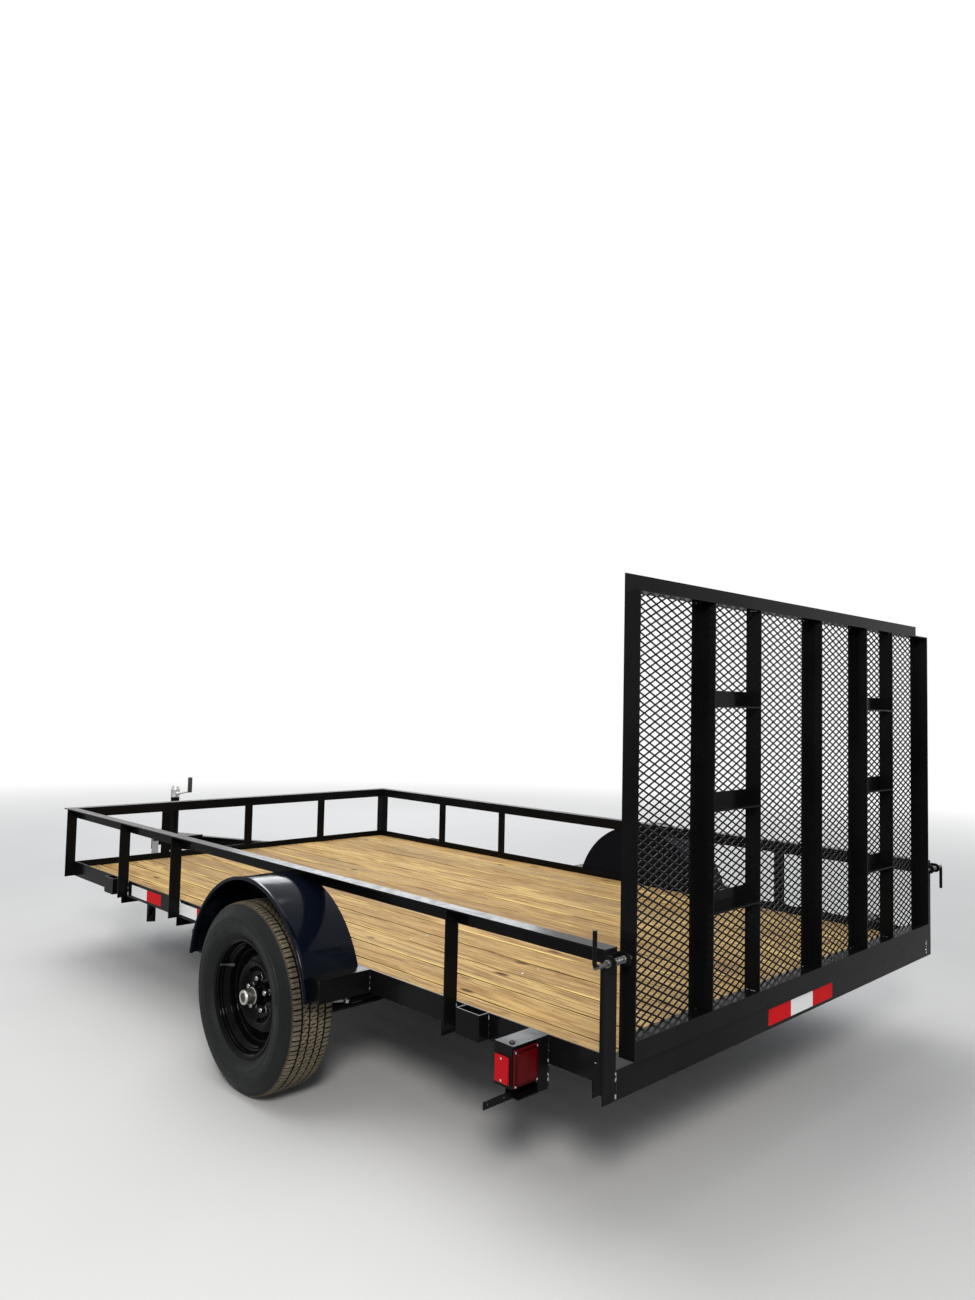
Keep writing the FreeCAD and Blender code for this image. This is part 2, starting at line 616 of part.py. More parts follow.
# share of the rim's lip, share of the wall over the bead, share of half width
TYRE_SHAPE = [
    (0.0, 0.0, 0.66), (0.93, 0.0, 0.68), (BEAD_TOP, 0.0, 0.80), (BEAD_TOP, 0.157, 0.95),
    (BEAD_TOP, 0.349, 1.0), (BEAD_TOP, 0.542, 0.975), (BEAD_TOP, 0.735, 0.90),
    (BEAD_TOP, 0.88, 0.81), (BEAD_TOP, 0.958, 0.74), (BEAD_TOP, 0.988, 0.66),
    (BEAD_TOP, 1.0, 0.45),
]
# radius from the flange, place from the middle plane
RIM_SHAPE = [
    (0, 77), (0, 72.5), (-18, 70.5), (-18, 46), (-36, 36), (-36, -30), (-18, -46),
    (-18, -70.5), (0, -72.5), (0, -77), (-8, -77), (-23, -73), (-23, -47), (-41, -33),
    (-41, 4), (-60, 8), (-78, 18), (-96, 24), (-110, 20), (-121, 5), (-128, 0), (-166, 0),
    (-166, 5), (-130, 5), (-124, 9), (-113, 25), (-96, 29.5), (-76, 23), (-58, 13),
    (-41, 9), (-41, 38), (-23, 48), (-23, 60), (-20.5, 62), (-20.5, 72), (-8, 77),
]
# radius, place from the middle plane
HUB_SHAPE = [
    (18.5, -46), (40, -46), (40, -14), (70, -12), (70, -0.2), (41, -0.2), (40, 6), (34, 10),
    (34, 38), (27, 40), (27, 74), (24, 78), (6, 78), (6, 73), (21, 73), (21, 40), (18.5, 36),
]

for name, side in SIDES:
    half = [tyre_row(lip, high, wide) for lip, high, wide in TYRE_SHAPE]
    rest = [tyre_row(lip, high, -wide) for lip, high, wide in reversed(TYRE_SHAPE)]
    made = [
        (f"tyre_{name}", turned(f"Tyre{name}", half + rest)),
        (f"rim_{name}", turned(f"Rim{name}", [rim_row(r, p) for r, p in RIM_SHAPE])),
    ]
    nuts = [turned(f"Hub{name}", [plain_row(r, p) for r, p in HUB_SHAPE])]
    for number in range(5):
        nut = doc.addObject("Part::Prism", "Nut")
        nut.Polygon = 6
        tie(nut, "Circumradius", "nut_radius")
        tie(nut, "Height", "nut_long")
        nut.Placement = Placement(Vector(), TURN["y"])
        angle = f"({number} * 72 + 18) * 1 deg"
        nuts.append(at(nut, f"stud_circle * cos({angle})", "wheel_inset + 5.1",
                       f"stud_circle * sin({angle})"))
    made.append((f"hub_{name}", group(nuts)))
    for label, thing in made:
        if side < 0:
            thing.Placement = Placement(Vector(), Rotation(Vector(0, 0, 1), 180))
        keep(label, thing, "wheel_place", f"{side} * (track_half - wheel_inset)", "tyre_radius")

# Light boxes on brackets outside the side members.
light_boxes = []
lenses = []
for name, side in SIDES:
    housing = [
        bar("light_place", "frame_half", f"{TOP} - light_high", "light_wide", "light_long",
            "light_high", side),
        bar("light_place - steel", "frame_half", f"{TOP} - light_bracket", "steel",
            "light_long * 0.29", "light_bracket", side),
        bar("light_place - steel", "frame_half", f"{TOP} - 3", "steel", "light_long", "3", side),
        bar("light_place - steel", "frame_half", f"{TOP} - light_bracket", "light_wide * 0.73",
            "light_long * 0.85", "4", side),
        bar("light_place + light_wide * 0.59", "frame_half", f"{TOP} - light_bracket", "4",
            "light_long * 0.85", "light_bracket - light_high + 4", side),
    ]
    light_boxes.append(fuse(housing))
    lenses.append(bar("light_place - lens_thick", "light_reach - light_long * 0.707",
                      f"{TOP} - light_high + 2", "lens_thick", "light_long * 0.7",
                      "light_high - 12", side))
    lenses.append(bar("light_place + 8", "light_reach", f"{TOP} - light_high + 9",
                      "light_wide - 14", "7", "light_high - 40", side))
keep("light_boxes", group(light_boxes))
keep("lenses", group(lenses))

# Licence-plate strap under the left light box, with two bolt slots.
STRAP_IN = "(frame_half + light_long * 0.85)"
STRAP_LOW = f"({TOP} - light_bracket - 2)"
strap = bar("light_place + 18", STRAP_IN, STRAP_LOW, "4", "strap_long", "strap_high")
slots = fuse([
    rod("x", "light_place + 17", f"{STRAP_IN} + strap_long * {share}",
        f"{STRAP_LOW} + strap_high / 2", "3.5", "6")
    for share in ("0.27", "0.846")
])
keep("plate_strap", cut(strap, slots))

# Coupler: a tapered shell over the ends of the tongue legs and a domed ball socket.


def wedge(back, front, half_back, half_front, low, high):
    """A block that tapers forward; every argument is a formula."""
    made = doc.addObject("Part::Wedge", "Taper")
    tie(made, "Xmin", f"-({half_back})")
    tie(made, "Xmax", half_back)
    tie(made, "X2min", f"-({half_front})")
    tie(made, "X2max", half_front)
    tie(made, "Ymin", "0")
    tie(made, "Ymax", f"({front}) - ({back})")
    tie(made, "Zmin", "0")
    tie(made, "Z2min", "0")
    tie(made, "Zmax", f"({high}) - ({low})")
    tie(made, "Z2max", f"({high}) - ({low})")
    made.Placement = Placement(Vector(), Rotation(Vector(0, 0, 1), -90))
    return at(made, back, "0", low)


TIP = "(tongue_start + tongue_length * cos(tongue_angle * 1 deg))"
SPREAD = "(tongue_root - tongue_length * sin(tongue_angle * 1 deg))"
BACK = f"({TIP} - coupler_lap)"
BACK_HALF = f"({SPREAD} + coupler_lap * tan(tongue_angle * 1 deg))"
TONGUE_LOW = "(side_bottom - tongue_height)"
coupler_shell = fuse([
    wedge(BACK, f"{TIP} + 14", f"{BACK_HALF} + 8", f"{SPREAD} + 2", f"{TONGUE_LOW} + 20",
          "side_bottom + 6"),
    rod("z", "ball_place", "0", f"{TONGUE_LOW} + 44", "36", "tongue_height - 50"),
    wedge(TIP, "ball_place", f"{SPREAD} + 6", "36", f"{TONGUE_LOW} + 44", "side_bottom + 6"),
])
dome = doc.addObject("Part::Sphere", "Dome")
tie(dome, "Radius", "38")
at(dome, "ball_place", "0", "side_bottom - 22")
nose = doc.addObject("Part::Cone", "Nose")
tie(nose, "Radius1", "coupler_front")
tie(nose, "Radius2", "37")
tie(nose, "Height", "14")
at(nose, "ball_place", "0", f"{TONGUE_LOW} + 34")
socket_ball = doc.addObject("Part::Sphere", "Socket")
tie(socket_ball, "Radius", "ball_radius")
at(socket_ball, "ball_place", "0", "side_bottom - 26")
hollow = fuse([
    wedge(f"{BACK} - 2", f"{TIP} + 8", f"{BACK_HALF} + 1.2", f"{SPREAD} - 3.4",
          f"{TONGUE_LOW} - 5", "side_bottom + 0.6"),
    rod("z", "ball_place", "0", f"{TONGUE_LOW} - 20", "ball_radius", "tongue_height - 6"),
    socket_ball,
])
keep("coupler", cut(fuse([coupler_shell, dome, nose]), hollow))
keep("coupler_latch", fuse([
    bar("ball_place - 95", "-14", "side_bottom + 6.2", "40", "28", "22"),
    bar("ball_place - 150", "-9", "side_bottom + 28.2", "120", "18", "7"),
    rod("y", "ball_place - 75", "-18", "side_bottom + 20", "5", "36"),
]))

# Jack: a plate across the tongue legs carries the outer tube and its head.
PLATE_BACK = "75"
PLATE_FRONT = "62"


def plate_half(ahead):
    """Half the width over the tongue legs at a place ahead of the jack, less an edge."""
    return f"{SPREAD} + ({TIP} - jack_place - ({ahead})) * tan(tongue_angle * 1 deg) - 6"


jack_outer = fuse([
    rod("z", "jack_place", "0", "side_bottom - 90", "jack_tube",
        "jack_rise - head_high - cap_high + 90"),
    wedge(f"jack_place - {PLATE_BACK}", f"jack_place + {PLATE_FRONT}",
          plate_half(f"-{PLATE_BACK}"), plate_half(PLATE_FRONT), "side_bottom + 0.2",
          "side_bottom + 8"),
])
jack_hollow = rod("z", "jack_place", "0", "side_bottom - 95", "jack_leg + seat_gap",
                  "jack_rise - head_high - cap_high + 60")
keep("jack_tube", cut(jack_outer, jack_hollow))
# The jack's head with its side crank, whose arm rises slightly to an upright grip.
CRANK_HIGH = "(jack_top - cap_high - 34)"
grip_x = "jack_place - crank_reach"
arm = doc.addObject("Part::Cylinder", "Arm")
tie(arm, "Radius", "6")
tie(arm, "Height", "(crank_reach - 52) / cos(10 deg)")
arm.Placement = Placement(Vector(), Rotation(Vector(0, 1, 0), -80))
at(arm, "jack_place - 52", "0", CRANK_HIGH)
keep("jack_head", fuse([
    rod("z", "jack_place", "0", "jack_top - cap_high - head_high", "jack_tube + 2.5",
        "head_high"),
    rod("z", "jack_place", "0", "jack_top - cap_high", "jack_tube * 0.85", "cap_high"),
    rod("x", "jack_place - 62", "0", CRANK_HIGH, "10", "50"),
    arm,
    rod("z", grip_x, "0", f"{CRANK_HIGH} + 22", "15", "104"),
]))
# The jack's leg runs inside the tube and ends in a round foot on the ground.
leg_tube = cut(
    rod("z", "jack_place", "0", "14", "jack_leg", "side_bottom - 21"),
    rod("z", "jack_place", "0", "24", "jack_leg - jack_wall", "side_bottom"))
foot_cone = doc.addObject("Part::Cone", "Foot")
tie(foot_cone, "Radius1", "jack_foot - 2")
tie(foot_cone, "Radius2", "jack_leg + 5")
tie(foot_cone, "Height", "12")
at(foot_cone, "jack_place", "0", "4")
keep("jack_leg", fuse([leg_tube, foot_cone, rod("z", "jack_place", "0", "0", "jack_foot", "4")]))

# Gate. Side angles: one leg in the mesh plane, one pointing rearward at the edge.
GATE_TOP = "(gate_bottom + gate_height)"
FACE = "(angle_leg - steel)"
gate_sides = []
for name, side in SIDES:
    gate_sides.append(fuse([
        bar(FACE, "gate_half - angle_leg", "gate_bottom", "steel", "angle_leg",
            "gate_height - angle_leg", side),
        bar("0", "gate_half - steel", "gate_bottom", "angle_leg", "steel",
            "gate_height - angle_leg", side),
    ]))
keep("gate_sides", group(gate_sides))
keep("gate_top_rail", fuse([
    bar(FACE, "-gate_half", f"{GATE_TOP} - angle_leg", "steel", "2 * gate_half", "angle_leg"),
    bar("0", "-gate_half", f"{GATE_TOP} - angle_leg", "angle_leg", "2 * gate_half", "steel"),
]))
bottom_rail = [
    bar("0", "-gate_half + steel", "gate_bottom", "steel", "2 * (gate_half - steel)",
        "angle_leg"),
    bar("0", "-gate_half + steel", "gate_bottom + angle_leg - steel",
        FACE, "2 * (gate_half - steel)", "steel"),
    bar("0", "-gate_half + angle_leg", "gate_bottom + angle_leg - steel",
        "angle_leg", "2 * (gate_half - angle_leg)", "steel"),
]

# heel as a share of the gate's half width, which way its face leg points
UPRIGHTS = [(0.62663, 1), (0.36737, -1), (-0.05005, 1), (-0.41241, 1), (-0.64064, -1)]
uprights = []
for share, way in UPRIGHTS:
    heel = f"{share} * gate_half"
    face_y = heel if way > 0 else f"{heel} - angle_leg"
    web_y = heel if way > 0 else f"{heel} - steel"
    low = "gate_bottom + angle_leg"
    tall = "gate_height - 2 * angle_leg"
    uprights.append(fuse([
        bar(FACE, face_y, low, "steel", "angle_leg", tall),
        bar("0", web_y, low, "angle_leg", "steel", tall),
    ]))

# Rungs between the outer and inner upright of each wheel runner.
outer_left, inner_left, middle_upright, inner_right, outer_right = UPRIGHTS
# share of the gate's height
RUNG_RISES = [0.251, 0.482, 0.720]
rungs = []
for low_end, high_end in ((inner_left, outer_left), (outer_right, inner_right)):
    start = f"{low_end[0]} * gate_half"
    wide = f"({high_end[0]} - {low_end[0]}) * gate_half"
    for share in RUNG_RISES:
        rise = f"gate_bottom + {share} * gate_height"
        rungs.append(fuse([
            bar("0", start, rise, "angle_leg", wide, "steel"),
            bar(FACE, start, rise, "steel", wide, "angle_leg"),
        ]))
keep("gate_runners", fuse(uprights + rungs))

# Expanded metal as two layers of slanting strands that cross at the diamonds' corners.
MESH_HALF = "(gate_half - mesh_inset_side)"
MESH_LOW = "(gate_bottom + mesh_inset_low)"
MESH_TALL = "(gate_height - mesh_inset_low - mesh_inset_top)"
LAYER = "(mesh_thick / 2)"
SLOPE = "(mesh_high / mesh_wide)"
# Half the width that the strands cover before they are trimmed.
REACH = "(1.02 * gate_half)"
mesh_width = 2 * (VALUE["gate_half"] - VALUE["mesh_inset_side"])
mesh_tall = VALUE["gate_height"] - VALUE["mesh_inset_low"] - VALUE["mesh_inset_top"]
strand_count = int(mesh_tall / VALUE["mesh_high"] + mesh_width / VALUE["mesh_wide"])
for label, way, depth in (("gate_mesh_rising", 1, "angle_leg"),
                          ("gate_mesh_falling", -1, f"angle_leg + {LAYER}")):
    strands = []
    for number in range(strand_count):
        strand = doc.addObject("Part::Box", "Strand")
        tie(strand, "Length", LAYER)
        tie(strand, "Width", f"2 * {REACH} * sqrt(1 + {SLOPE} ^ 2)")
        tie(strand, "Height", "mesh_strand")
        strand.Placement = Placement(Vector(), Rotation(Vector(1, 0, 0), 25))
        tie(strand, "Placement.Rotation.Angle", f"{way} * atan({SLOPE})")
        strands.append(at(
            strand, depth, f"-{REACH}",
            f"{MESH_LOW} - {SLOPE} * {MESH_HALF} + ({number} + 0.6) * mesh_high"
            f" - {way} * {SLOPE} * {REACH}"))
    keep(label, common(group(strands), bar(depth, f"-{MESH_HALF}", MESH_LOW, LAYER,
                                           f"2 * {MESH_HALF}", MESH_TALL)))

# Gate hinges: ears and pin on the rear member, a lug under the gate's bottom rail.
HINGES = ["-hinge_reach", "0", "hinge_reach"]
LUG_HALF = "(knuckle * 0.75)"
ears = []
lugs = []
for place in HINGES:
    pieces = []
    for ear_y in (f"{place} - {LUG_HALF} - 1 - knuckle", f"{place} + {LUG_HALF} + 1"):
        pieces.append(rod("y", "hinge_back", ear_y, "hinge_height", "knuckle", "knuckle"))
        pieces.append(bar("hinge_back", ear_y, "hinge_height - 3", "20", "knuckle",
                          "knuckle + 3"))
        pieces.append(bar("hinge_back + 19", ear_y, FLANGE, "26", "knuckle",
                          f"hinge_height + knuckle - {FLANGE}"))
    pieces.append(rod("y", "hinge_back", f"{place} - 18", "hinge_height", "hinge_pin", "36"))
    ears.append(fuse(pieces))
    lug = fuse([
        rod("y", "hinge_back", f"{place} - {LUG_HALF}", "hinge_height", "knuckle",
            f"2 * {LUG_HALF}"),
        bar("hinge_back - knuckle", f"{place} - {LUG_HALF}", "hinge_height", "2 * knuckle",
            f"2 * {LUG_HALF}", "gate_bottom + angle_leg - steel - hinge_height"),
    ])
    lugs.append(cut(lug, rod("y", "hinge_back", f"{place} - knuckle", "hinge_height",
                             "hinge_pin + 0.2", "2 * knuckle")))
keep("gate_hinge_ears", group(ears))
keep("gate_bottom_rail", fuse(bottom_rail + lugs))

# Latches on the rear corner posts: two rounded ears, a sprung pin and its bent handle.
PIN_X = "latch_ear - overhang"
latches = []
for name, side in SIDES:
    pieces = []
    inner_ear = "frame_half - 2 * latch_plate"
    for ear_y in (inner_ear, "frame_half + angle_leg"):
        pieces.append(rod("y", PIN_X, ear_y, "latch_height", "latch_ear", "latch_plate", side))
        pieces.append(bar(PIN_X, ear_y, "latch_height - latch_ear", f"rear_face - ({PIN_X})",
                          "latch_plate", "2 * latch_ear", side))
    pieces.append(bar("rear_face - latch_plate", inner_ear, "latch_height - latch_ear",
                      "latch_plate", "angle_leg + 3 * latch_plate", "2 * latch_ear", side))
    pieces += [
        rod("y", PIN_X, "frame_half - 34", "latch_height", "latch_pin", "150", side),
        rod("y", PIN_X, "frame_half - latch_plate", "latch_height", "latch_pin + 3.5",
            "angle_leg + latch_plate", side),
        rod("y", PIN_X, "frame_half + angle_leg + latch_plate", "latch_height",
            "latch_pin + 4", "2 * latch_pin", side),
    ]
    low = "latch_height" if side > 0 else "latch_height - latch_handle"
    pieces.append(rod("z", PIN_X, "frame_half + 116", low, "latch_pin", "latch_handle", side))
    latches.append(fuse(pieces))
keep("gate_latches", group(latches))

doc.recompute()
for thing in doc.Objects:
    if "Invalid" in thing.State or "Error" in thing.State:
        raise SystemExit(f"{thing.Name} {thing.Label} did not recompute")
for thing in subparts:
    if thing.Shape.isNull() or not thing.Shape.isValid():
        raise SystemExit(f"{thing.Label} has no sound shape")
    thing.Shape.exportStep(f"parts/{thing.Label}.step")
print(len(subparts), "sub-parts written")
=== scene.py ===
import bpy
import json
import math
import random
from mathutils import Matrix, Vector


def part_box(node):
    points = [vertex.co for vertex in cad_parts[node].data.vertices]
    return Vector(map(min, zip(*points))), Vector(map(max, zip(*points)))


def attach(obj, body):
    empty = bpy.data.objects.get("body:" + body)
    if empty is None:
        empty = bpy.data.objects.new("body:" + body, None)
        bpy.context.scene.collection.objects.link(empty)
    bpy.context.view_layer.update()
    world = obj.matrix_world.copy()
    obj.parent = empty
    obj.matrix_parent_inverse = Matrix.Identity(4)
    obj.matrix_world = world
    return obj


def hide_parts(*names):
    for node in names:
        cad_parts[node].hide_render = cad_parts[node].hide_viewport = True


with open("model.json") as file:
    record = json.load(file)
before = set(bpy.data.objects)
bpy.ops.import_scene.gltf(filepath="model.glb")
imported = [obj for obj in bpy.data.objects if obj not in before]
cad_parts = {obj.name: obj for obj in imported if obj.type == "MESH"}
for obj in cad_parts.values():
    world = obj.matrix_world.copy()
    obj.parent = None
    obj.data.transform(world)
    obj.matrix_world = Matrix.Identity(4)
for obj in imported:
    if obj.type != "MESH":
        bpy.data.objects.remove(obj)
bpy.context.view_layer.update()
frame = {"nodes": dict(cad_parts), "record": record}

# Metres; +X towards the coupler, +Y the trailer's left, +Z up, origin on the ground.
rng = random.Random(7)
nodes = frame["nodes"]
SIDES = (("left", 1), ("right", -1))

# The solids' places along X are measured forward from the gate's rear plane, which is here.
REAR = -2.4805
# The rear member's rear face, and the outer face of a side member.
REAR_FACE = REAR + 0.027
SIDE_FACE = 1.0414
# The wheels' axis forward of the gate's rear plane, and the leg of the lighter angle iron.
WHEEL_PLACE = 1.497
ANGLE_LEG = 0.0508


# Materials
def new_node(tree, kind, **constants):
    """A shader node with constants on its sockets."""
    node = tree.nodes.new("ShaderNode" + kind)
    for socket, value in constants.items():
        node.inputs[socket].default_value = value
    return node


class Shader:
    """A principled material and short calls that add nodes to it."""

    def __init__(self, name, **constants):
        self.material = bpy.data.materials.new(name)
        self.material.use_nodes = True
        self.tree = self.material.node_tree
        self.main = self.tree.nodes["Principled BSDF"]
        for socket, value in constants.items():
            self.main.inputs[socket.replace("_", " ")].default_value = value
        coords = self.node("TexCoord")
        self.place = coords.outputs["Object"]

    def node(self, kind, **constants):
        return new_node(self.tree, kind, **constants)

    def link(self, source, target):
        self.tree.links.new(source, target)

    def mapped(self, scale, move):
        node = self.node("Mapping", Scale=scale, Location=move)
        self.link(self.place, node.inputs["Vector"])
        return node.outputs["Vector"]

    def noise(self, scale, detail=3.0, rough=0.55, vector=None, warp=0.0):
        node = self.node("TexNoise", Scale=scale, Detail=detail, Roughness=rough,
                         Distortion=warp)
        self.link(vector or self.place, node.inputs["Vector"])
        return node.outputs["Fac"]

    def cells(self, scale, disorder, vector=None, feature="F1"):
        """Distances inside cells, from a square grid at no disorder to scattered ones at 1."""
        node = self.node("TexVoronoi", Scale=scale, Randomness=disorder)
        node.feature = feature
        self.link(vector or self.place, node.inputs["Vector"])
        return node.outputs["Distance"]

    def ramp(self, source, *stops):
        """Colours or greys at places along 0 to 1."""
        node = self.node("ValToRGB")
        ends = node.color_ramp.elements
        while len(ends) < len(stops):
            ends.new(0.5)
        for end, (place, colour) in zip(ends, stops):
            end.position = place
            grey = isinstance(colour, (int, float))
            end.color = (colour,) * 3 + (1,) if grey else tuple(colour) + (1,)
        self.link(source, node.inputs["Fac"])
        return node.outputs["Color"]

    def math(self, kind, first, second=0.0):
        node = self.node("Math")
        node.operation = kind
        for socket, value in zip(node.inputs, (first, second)):
            if isinstance(value, (int, float)):
                socket.default_value = value
            else:
                self.link(value, socket)
        return node.outputs["Value"]

    def mix(self, share, first, second):
        """Two colours mixed by a share; each is a socket or a constant."""
        node = self.node("Mix")
        node.data_type = "RGBA"
        for socket, value in ((node.inputs[0], share), (node.inputs[6], first),
                              (node.inputs[7], second)):
            if isinstance(value, (int, float)):
                socket.default_value = value
            elif isinstance(value, tuple):
                socket.default_value = value + (1,)
            else:
                self.link(value, socket)
        return node.outputs[2]

    def attribute(self, name):
        node = self.node("Attribute")
        node.attribute_name = name
        return node.outputs["Fac"]

    def axes(self):
        node = self.node("SeparateXYZ")
        self.link(self.place, node.inputs["Vector"])
        return node.outputs

    def colour(self, source):
        self.link(source, self.main.inputs["Base Color"])

    def roughness(self, source):
        self.link(source, self.main.inputs["Roughness"])

    def bump(self, height, distance, strength=1.0, edge=0.0):
        """Surface relief in metres; edge rounds sharp corners in the shading."""
        node = self.node("Bump", Distance=distance, Strength=strength)
        self.link(height, node.inputs["Height"])
        if edge:
            soft = self.node("Bevel", Radius=edge)
            soft.samples = 6
            self.link(soft.outputs["Normal"], node.inputs["Normal"])
        self.link(node.outputs["Normal"], self.main.inputs["Normal"])


def paint(name, dark, light, rough, dust, edge, peel, shine):
    """Sprayed black paint: slight mottling, orange peel, a thin film of dust."""
    made = Shader(name, Specular_IOR_Level=shine)
    film = made.ramp(made.noise(3.0, 5.0, 0.6), (0.35, dark), (0.7, light))
    specks = made.ramp(made.noise(140.0, 2.0), (0.62, 0.0), (0.74, 1.0))
    patches = made.ramp(made.noise(5.5, 4.0), (0.45, 0.0), (0.75, 1.0))
    dusty = made.math("MULTIPLY", specks, patches)
    made.colour(made.mix(made.math("MULTIPLY", dusty, dust), film, (0.16, 0.135, 0.10)))
    made.roughness(made.ramp(made.noise(22.0, 4.0), (0.3, rough - 0.06), (0.7, rough + 0.1)))
    made.bump(made.noise(420.0, 2.0), peel, 0.6, edge)
    return made.material


FRAME_PAINT = paint("frame_paint", (0.0026, 0.0027, 0.0029), (0.0060, 0.0060, 0.0062), 0.17,
                    0.12, 0.0012, 0.00002, 0.06)
FENDER_PAINT = paint("fender_paint", (0.0014, 0.0024, 0.0062), (0.0028, 0.0042, 0.0090), 0.10,
                     0.16, 0.0, 0.00008, 0.08)
RIM_PAINT = paint("rim_paint", (0.0016, 0.0016, 0.0018), (0.0028, 0.0028, 0.0032), 0.07, 0.08,
                  0.0, 0.00002, 0.05)
MESH_PAINT = paint("mesh_paint", (0.0028, 0.0029, 0.0032), (0.0060, 0.0062, 0.0066), 0.32, 0.1,
                   0.0, 0.00012, 0.08)


def zinc_finish(name, light, dark, rough):
    """Bare or plated metal, mottled between two greys."""
    made = Shader(name, Metallic=1.0)
    spangle = made.noise(160.0, 4.0, 0.7)
    made.colour(made.ramp(spangle, (0.3, dark), (0.65, light)))
    made.roughness(made.ramp(made.noise(60.0, 3.0), (0.3, rough), (0.75, rough + 0.22)))
    made.bump(made.noise(700.0, 2.0), 0.00008, 0.5)
    return made.material


ZINC = zinc_finish("bright_zinc", (0.72, 0.72, 0.70), (0.50, 0.50, 0.49), 0.22)
# The nuts' greys are kept dark: painted reflection of dark surroundings in the chrome.
CHROME = zinc_finish("chrome_nut", (0.44, 0.44, 0.45), (0.24, 0.24, 0.25), 0.1)
DULL_STEEL = zinc_finish("dust_cap", (0.60, 0.59, 0.56), (0.36, 0.35, 0.33), 0.3)


def pine_finish():
    """Flat-sawn treated pine: growth bands, fibres, flecks, knots, a painted yellow highlight on the
    eased edges and painted shade in the seams.
    """
    made = Shader("pine", Specular_IOR_Level=0.05)
    board = made.attribute("board")
    x, y, z = made.axes()
    offset = made.math("MULTIPLY", board, 7.31)

    def along_grain(long_scale, cross_scale):
        """Places stretched along the board, shifted so that each board differs."""
        join = made.node("CombineXYZ")
        made.link(made.math("ADD", made.math("MULTIPLY", x, long_scale), offset), join.inputs[0])
        made.link(made.math("MULTIPLY", y, cross_scale), join.inputs[1])
        made.link(made.math("ADD", made.math("MULTIPLY", z, cross_scale), offset),
                  join.inputs[2])
        return join.outputs["Vector"]

    swirl = made.noise(1.5, 3.0, 0.5, along_grain(0.5, 8.0), 0.5)
    bands = made.math("SINE", made.math("MULTIPLY", made.math("ADD", swirl, offset), 40.0))
    bands = made.math("ADD", made.math("MULTIPLY", bands, 0.5), 0.5)
    fibre = made.noise(1.0, 4.0, 0.6, along_grain(6.0, 420.0))
    early = made.ramp(board, (0.0, (0.53, 0.350, 0.135)), (0.25, (0.32, 0.195, 0.078)),
                      (0.5, (0.65, 0.445, 0.180)), (0.75, (0.38, 0.245, 0.100)),
                      (1.0, (0.52, 0.320, 0.115)))
    late = made.ramp(board, (0.0, (0.27, 0.145, 0.050)), (0.5, (0.19, 0.100, 0.036)),
                     (1.0, (0.30, 0.165, 0.058)))
    wood = made.mix(made.ramp(bands, (0.40, 0.0), (0.92, 0.85)), early, late)
    streaks = made.noise(1.0, 5.0, 0.7, along_grain(5.0, 55.0))
    knots = made.cells(1.0, 1.0, made.mapped((2.4, 7.0, 7.0), (0.3, 0.2, 0.1)))
    # What each stain follows, two stops with its strength at them, and its colour.
    for source, low, high, stain in (
            (fibre, (0.35, 0.0), (0.75, 0.45), (0.185, 0.100, 0.040)),
            # Streaks a few centimetres long, paler and darker than the board.
            (streaks, (0.46, 0.0), (0.66, 0.55), (0.62, 0.430, 0.170)),
            (streaks, (0.28, 0.50), (0.42, 0.0), (0.175, 0.098, 0.040)),
            # Browner and paler stretches along each board.
            (made.noise(1.0, 4.0, 0.6, along_grain(0.9, 2.4)), (0.42, 0.0), (0.68, 0.62),
             (0.250, 0.172, 0.092)),
            (made.noise(1.0, 3.0, 0.6, along_grain(0.7, 11.0)), (0.50, 0.0), (0.72, 0.45),
             (0.60, 0.420, 0.165)),
            # Short dark flecks along the grain, and knots.
            (made.noise(1.0, 3.0, 0.65, along_grain(14.0, 130.0)), (0.60, 0.0), (0.70, 0.70),
             (0.105, 0.055, 0.022)),
            (knots, (0.05, 1.0), (0.11, 0.0), (0.085, 0.038, 0.013))):
        wood = made.mix(made.ramp(source, low, high), wood, stain)
    # Painted highlight along the rounded edges, streaked along each board, and painted shade in the
    # seam between boards.
    edge = made.attribute("edge")
    streak = made.ramp(made.noise(1.0, 3.0, 0.6, along_grain(2.2, 5.0)), (0.46, 0.05), (0.6, 1.0))
    lit = made.math("MULTIPLY", made.ramp(edge, (0.15, 0.0), (0.55, 0.85)), streak)
    wood = made.mix(lit, wood, (0.80, 0.585, 0.210))
    # Painted shade over the boards' sides and the lower part of their rounded edges.
    wood = made.mix(made.ramp(edge, (0.66, 0.0), (0.92, 1.0)), wood, (0.022, 0.012, 0.006))
    made.colour(wood)
    made.roughness(made.ramp(fibre, (0.3, 0.55), (0.8, 0.78)))
    relief = made.math("ADD", made.math("MULTIPLY", bands, 0.5), fibre)
    made.bump(relief, 0.0006, 0.7)
    return made.material


def rubber_finish(name, base, dust, tread):
    """Rubber with road dust; on the tread the grooves are kept bare and dark, as painted shade."""
    made = Shader(name, Specular_IOR_Level=0.16)
    cover = made.noise(9.0, 6.0, 0.65)
    grit = made.noise(260.0, 3.0, 0.6)
    low, high = (0.34, 0.62) if tread else (0.42, 0.8)
    share = made.ramp(cover, (low, 0.45 if tread else 0.0), (high, 1.0 if tread else 0.5))
    share = made.math("MULTIPLY", share, made.ramp(grit, (0.2, 0.65), (0.7, 1.0)))
    # Painted shade in the tread's grooves and cuts: deep points get no dust.
    if tread:
        share = made.math("MULTIPLY", share,
                          made.ramp(made.attribute("deep"), (0.0, 1.0), (0.5, 0.0)))
    made.colour(made.mix(share, base, dust))
    made.roughness(made.ramp(cover, (0.3, 0.38), (0.7, 0.66)))
    made.bump(grit, 0.0003 if tread else 0.00008, 0.6)
    return made.material


PINE = pine_finish()
SIDEWALL = rubber_finish("sidewall", (0.0046, 0.0060, 0.0056), (0.020, 0.024, 0.021), False)
TREAD = rubber_finish("tread", (0.006, 0.0054, 0.0044), (0.190, 0.157, 0.106), True)


